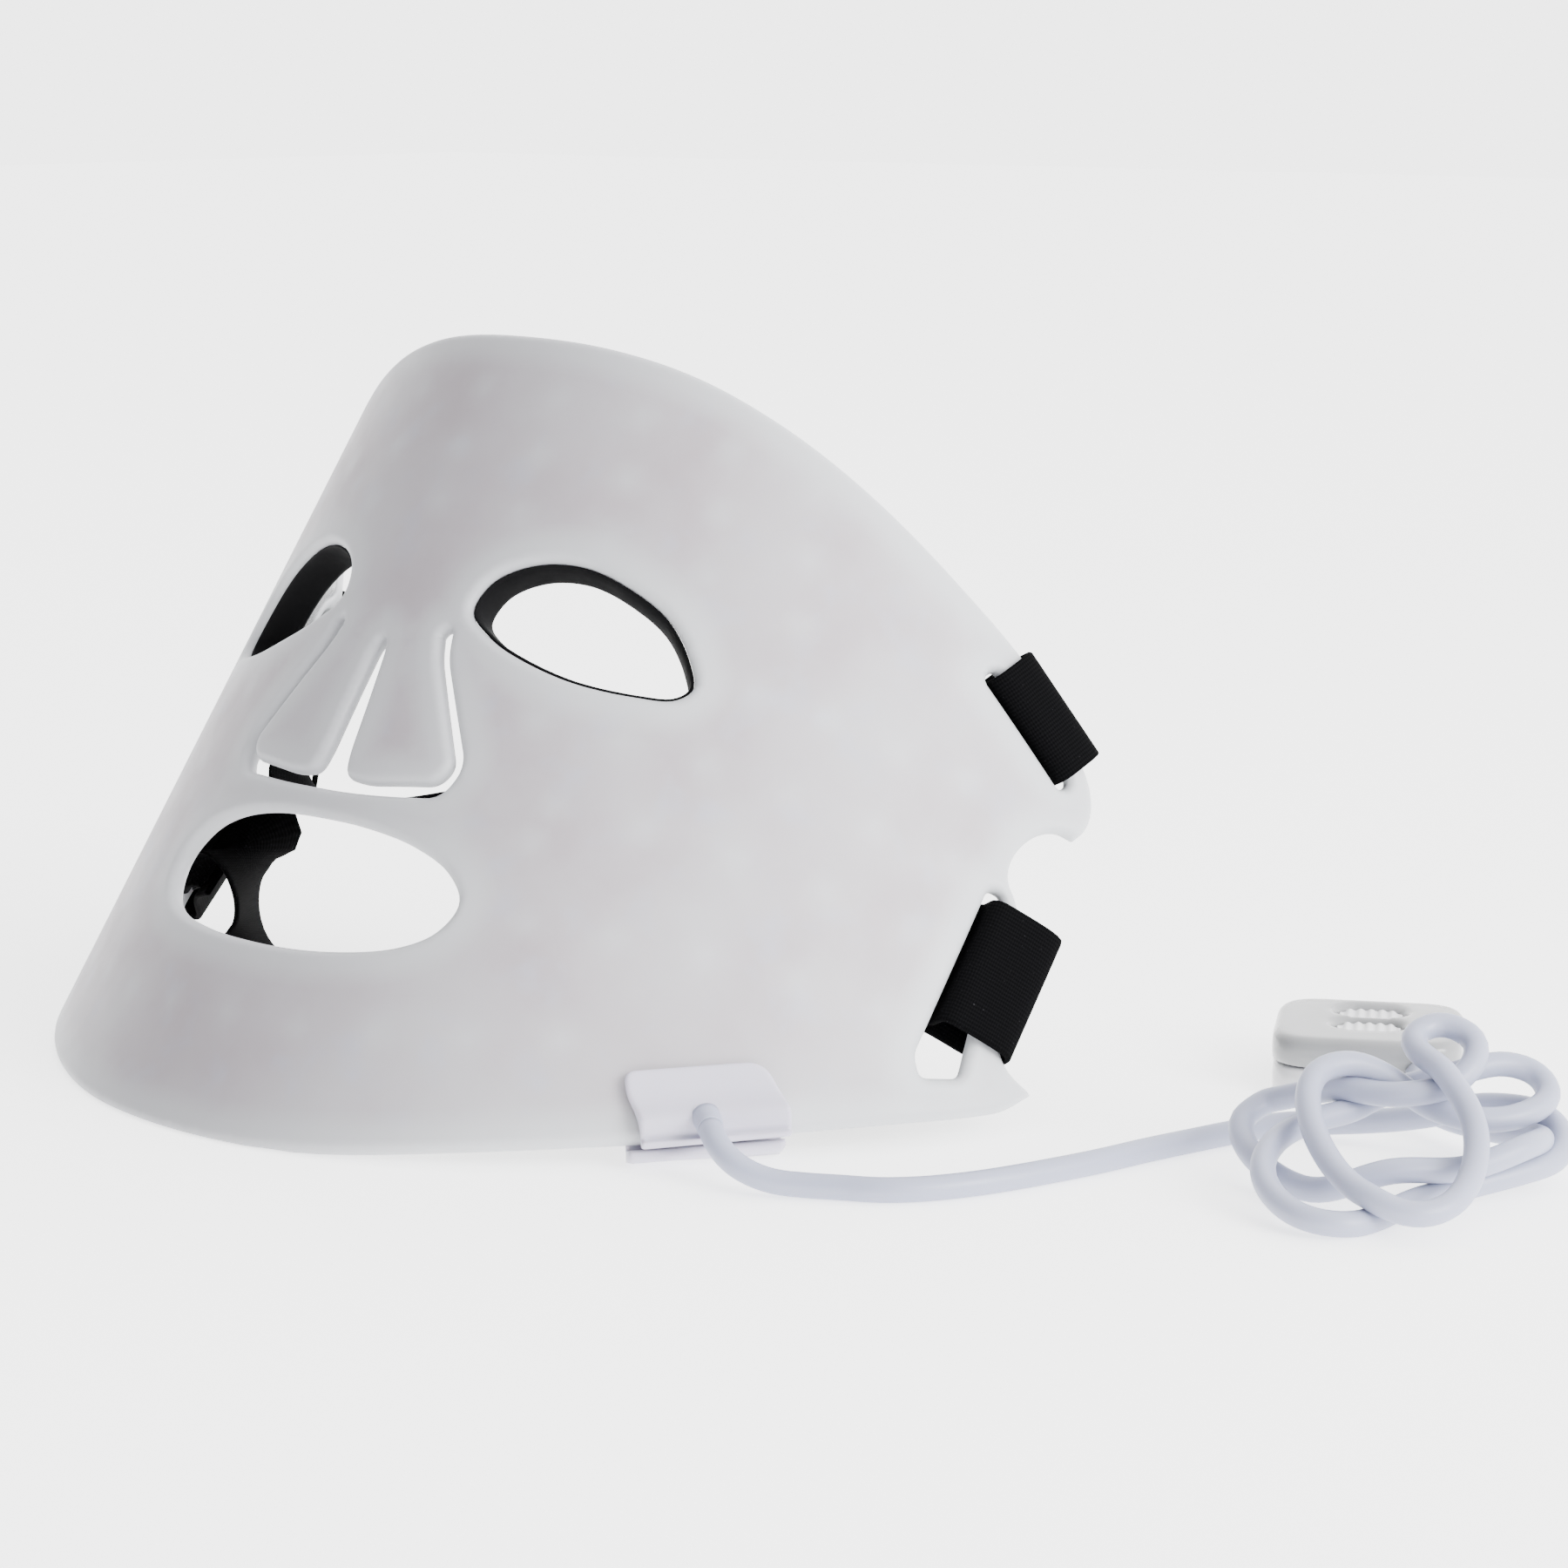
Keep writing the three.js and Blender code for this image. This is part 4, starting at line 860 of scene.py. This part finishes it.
UPPER_SPAN = [(-91.6, -80, 51.6, -48, 0), (-86, -83.2, 49, -68, 0), (-76, -84, 48.4, -78, 0),
              (-60, -83.4, 49.6, -79, 0), (-40, -82, 51.4, -72, 0), (0, -79.8, 56, -50, 0),
              (40, -79, 61, -32, 0), (80, -77.4, 64.4, -22, 0)]
LOWER_SPAN = [(-109.6, -89.2, 35.3, 47, 2), (-106, -90.2, 33.4, 58, 16), (-104.4, -91, 27.6, 74, 30),
              (-103.8, -91.8, 20, 88, 38), (-103, -92.8, 12, 90, 34), (-100, -94, 5.4, 90, 18),
              (-93, -95.2, 2.2, 90, 6), (-84, -96, 1.2, 90, 0), (0, -96, 1.2, 90, 0),
              (74, -96, 1.2, 90, 0), (86, -95, 2.2, 90, 0), (95, -93, 5.6, 90, 0),
              (102, -91, 12.5, 90, 0), (105, -89, 21, 90, 0), (105.8, -87.6, 29.5, 82, 0),
              (106.8, -87.4, 36.8, 70, 0), (109.2, -88, 41, 56, 0), (112.6, -89, 42.2, 44, 0)]
strap("band_upper", "upper_strap", STRAPS["upper"], UPPER_SPAN)
strap("band_lower", "lower_strap", STRAPS["lower"], LOWER_SPAN)

# ---- Connector -----------------------------------------------------------------------------------

hem_at, hem_across, hem_along, hem_out = sheet_axes(121, 31, math.atan2(16, 32))


def hem_place(x, y, z):
    """A point along the hem, up the sheet and out of it, kept just off the table."""
    x, y, z = (np.asarray(value, float)[..., None] for value in (x, y, z))
    points = hem_at + x * hem_across + y * hem_along + z * hem_out
    points[..., 2] = np.maximum(points[..., 2], TABLE_GAP)
    return points


def profiled_plate(name, edge, front, back, rim, body, slot, look, place, rings, spacing, plate_holes=()):
    """A closed plate over a flat edge line, its front and back heights given as functions."""
    points, faces, gap = flat_mesh(edge, list(plate_holes), rings, spacing)
    high, low = front(*points.T), back(*points.T)
    reach = np.minimum(rim, (high - low) / 2)
    drop = reach * (1 - np.sqrt(np.maximum(1 - np.clip(1 - gap / rim, 0, 1) ** 2, 0)))
    vertices, faces = closed_slab(points, faces, gap, high - drop, low + drop * 0.4, place)
    if volume(vertices, faces) < 0:
        faces = faces[:, ::-1]
    piece = add_mesh(name, row(vertices), faces, body, slot)
    look.on(piece)
    return piece


def connector_front(x, y):
    """The front face's height: a flat plate, then a rounded bulge, a groove and a lip below it."""
    bulge = 2.6 * np.exp(-((y - 4.6) / 2.9) ** 2)
    groove = -0.9 * np.exp(-((y - 0.55) / 0.45) ** 2)
    lip = 0.9 * np.exp(-((y + 0.35) / 0.5) ** 2)
    return 2.5 + bulge + groove + lip


FRONT_EDGE = [(-14.7, 16.4, 5), (16.6, 16.4, 6.5), (20.2, 8, 3), (21.3, 5, 2), (21.3, -1, 0.8),
              (-12.6, -1.4, 0.8), (-12.6, 5, 3), (-14.9, 11.5, 4)]
cover = profiled_plate(
    "connector_front", rounded_polygon(FRONT_EDGE, 2, 0.7), connector_front,
    lambda x, y: np.full_like(x, 0.35), 1.0, "mask", "satin_plastic", SATIN, hem_place,
    [0.12, 0.35, 0.65, 1.0], 0.6)
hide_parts("connector_front_cover")

REAR_EDGE = [(-14.4, 13.4, 3), (20.2, 13.4, 3), (20.2, -3.1, 1), (-15.2, -3.3, 1)]


def rear_front(x, y):
    """The rear cover behind the sheet: it comes forward under the hem as a rail."""
    return -6.3 + 5.6 * smoothstep((-0.5 - y) / 0.5)


rear = profiled_plate(
    "connector_rear", rounded_polygon(REAR_EDGE, 2, 0.8), rear_front,
    lambda x, y: np.full_like(x, -8.7), 0.8, "mask", "satin_plastic", SATIN, hem_place,
    [0.1, 0.3, 0.6, 0.8], 0.7)
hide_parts("connector_rear_cover")

# The gland: a short tapered sleeve from the cover's foot to where the lead begins.
lead_way = route[3] - route[0]
lead_way /= np.linalg.norm(lead_way)
sleeve_line = [route[0] - lead_way * s for s in (5.5, 4, 2.5, 1, 0.2, -0.2)]


def tapered_tube(name, line, radii, node):
    """A round cord fitting whose radius is given at each point of its line, in place of a node."""
    vertices, faces = tube(line, radii[0], FITTING_SIDES, radii)
    piece = add_mesh(name, row(vertices), faces, "mask", "cord_jacket")
    JACKET.on(piece)
    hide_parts(node)


FITTING_SIDES = 28
tapered_tube("cord_sleeve", sleeve_line, [3.2, 3.15, 3.08, 3.0, 2.95, 2.85], "cord_gland")

# ---- Controller ----------------------------------------------------------------------------------

BOX_WIDE, BOX_DEEP, BOX_HIGH, BOX_CORNER, BOX_SPLIT = 45, 42, 15, 7.5, 7.3
BOX_TURN = math.radians(28.8)
BUTTON_SPOTS = {"power": 10, "mode": -3}


def box_place(x, y, z):
    """A point in the controller's axes, in the mask's frame."""
    x, y, z = (np.asarray(value, float) for value in (x, y, z))
    return np.stack([184.6 + x * math.cos(BOX_TURN) - y * math.sin(BOX_TURN),
                     6.5 + x * math.sin(BOX_TURN) + y * math.cos(BOX_TURN), z + 0 * x], axis=-1)


def case_edge(inset, spacing=1.0):
    w, d = BOX_WIDE / 2 - inset, BOX_DEEP / 2 - inset
    return rounded_polygon([(w, d), (-w, d), (-w, -d), (w, -d)], BOX_CORNER * 1.5, spacing)


def oval_edge(y, grow, spacing=0.6):
    """A stadium-shaped edge round a button."""
    half, end = 7.7 + grow, 4.7 + grow
    angles = np.linspace(-math.pi / 2, math.pi / 2, 14)
    right = np.stack([half - end + end * np.cos(angles), y + end * np.sin(angles)], axis=1)
    left = np.stack([-(half - end) - end * np.cos(angles), y - end * np.sin(angles)], axis=1)
    return resampled(np.vstack([right, left, right[:1]]), spacing, closed=True)


def flat_height(value):
    return lambda x, y: np.full_like(x, value)


lid = profiled_plate(
    "controller_lid", case_edge(0), flat_height(BOX_HIGH), flat_height(BOX_SPLIT + 0.25), 2.6, "mask",
    "clear_plastic", SHELL_CLEAR, box_place, [0.15, 0.5, 1.1, 1.8, 2.6], 1.6,
    [oval_edge(y, 0.35) for y in BUTTON_SPOTS.values()])
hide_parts("controller_top_shell")
base = profiled_plate(
    "controller_base", case_edge(0.15), flat_height(BOX_SPLIT), flat_height(0.3), 1.4, "mask",
    "white_plastic", SHELL_WHITE, box_place, [0.15, 0.4, 0.8, 1.4], 2.0)
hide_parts("controller_bottom_shell")


def cap_height(x, y):
    """A button's face: moulded ribs across a flat top."""
    return 13.9 + 0.28 * np.cos(x * 2 * math.pi / 2.6)


for name, spot in BUTTON_SPOTS.items():
    cap = profiled_plate(
        f"cap_{name}", oval_edge(spot, 0), cap_height, flat_height(11.2), 0.7, f"button_{name}",
        "white_plastic", BUTTON_WHITE, box_place, [0.1, 0.3, 0.7], 0.45)
    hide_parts(f"button_{name}")

relief_line = [box_place(np.array(13.0), np.array(-BOX_DEEP / 2 - s), np.array(7.4))
               for s in (-1.4, 0.5, 2, 4, 6, 8, 10.2, 10.4)]
tapered_tube("strain_relief", relief_line, [3.7, 3.7, 3.9, 3.6, 3.4, 3.2, 3.0, 2.85],
             "cord_strain_relief")

# ---- Carried-over pieces --------------------------------------------------------------------------

for name, piece in nodes.items():
    if name.startswith("led_row") or name.startswith("nose_flap_leds"):
        PACKAGE.on(piece)
    elif "circuit" in name:
        FILM.on(piece)
    elif name.endswith("_board"):
        BOARD.on(piece)
    elif "hook" in name:
        HOOKS.on(piece)
    elif "screw" in name or name == "charge_port":
        STEEL.on(piece)
    elif name == "connector_contacts":
        GOLD.on(piece)
    elif name == "controller_battery":
        FOIL.on(piece)

# ---- Floor and light -----------------------------------------------------------------------------

floor_mesh = bpy.data.meshes.new("floor")
floor_mesh.from_pydata([(-6, -6, 0), (6, -6, 0), (6, 6, 0), (-6, 6, 0)], [], [(0, 1, 2, 3)])
floor = bpy.data.objects.new("floor", floor_mesh)
bpy.context.scene.collection.objects.link(floor)
floor_look = Look("floor", (0.80, 0.80, 0.80), 1.0, Specular_IOR_Level=0.0)
floor_look.shader.inputs["Emission Color"].default_value = (1, 1, 1, 1)
floor_look.shader.inputs["Emission Strength"].default_value = 2.0
floor_look.on(floor)

# A white room that is dimmer on the side the front of the mask faces.
world = bpy.data.worlds.new("studio")
bpy.context.scene.world = world
world.use_nodes = True
nodes_of, links_of = world.node_tree.nodes, world.node_tree.links
background = nodes_of["Background"]
background.inputs["Color"].default_value = (1, 1, 1, 1)
bearing = nodes_of.new("ShaderNodeTexCoord").outputs["Generated"]
across = nodes_of.new("ShaderNodeVectorMath")
across.operation = "DOT_PRODUCT"
across.inputs[1].default_value = (0.35, 0.94, 0)
links_of.new(bearing, across.inputs[0])
fade = nodes_of.new("ShaderNodeMapRange")
fade.interpolation_type = "SMOOTHSTEP"
for index, value in enumerate((-0.85, 0.35, 0.3, 4.0), start=1):
    fade.inputs[index].default_value = value
links_of.new(across.outputs["Value"], fade.inputs[0])
links_of.new(fade.outputs[0], background.inputs["Strength"])


def area_light(name, spot, target, size, power):
    data = bpy.data.lights.new(name, "AREA")
    data.size = size
    data.energy = power
    light = bpy.data.objects.new(name, data)
    bpy.context.scene.collection.objects.link(light)
    light.location = spot
    light.rotation_euler = (Vector(target) - Vector(spot)).to_track_quat("-Z", "Y").to_euler()


area_light("key", (1.6, -0.1, 0.7), (0, 0, 0.06), 0.8, 42)
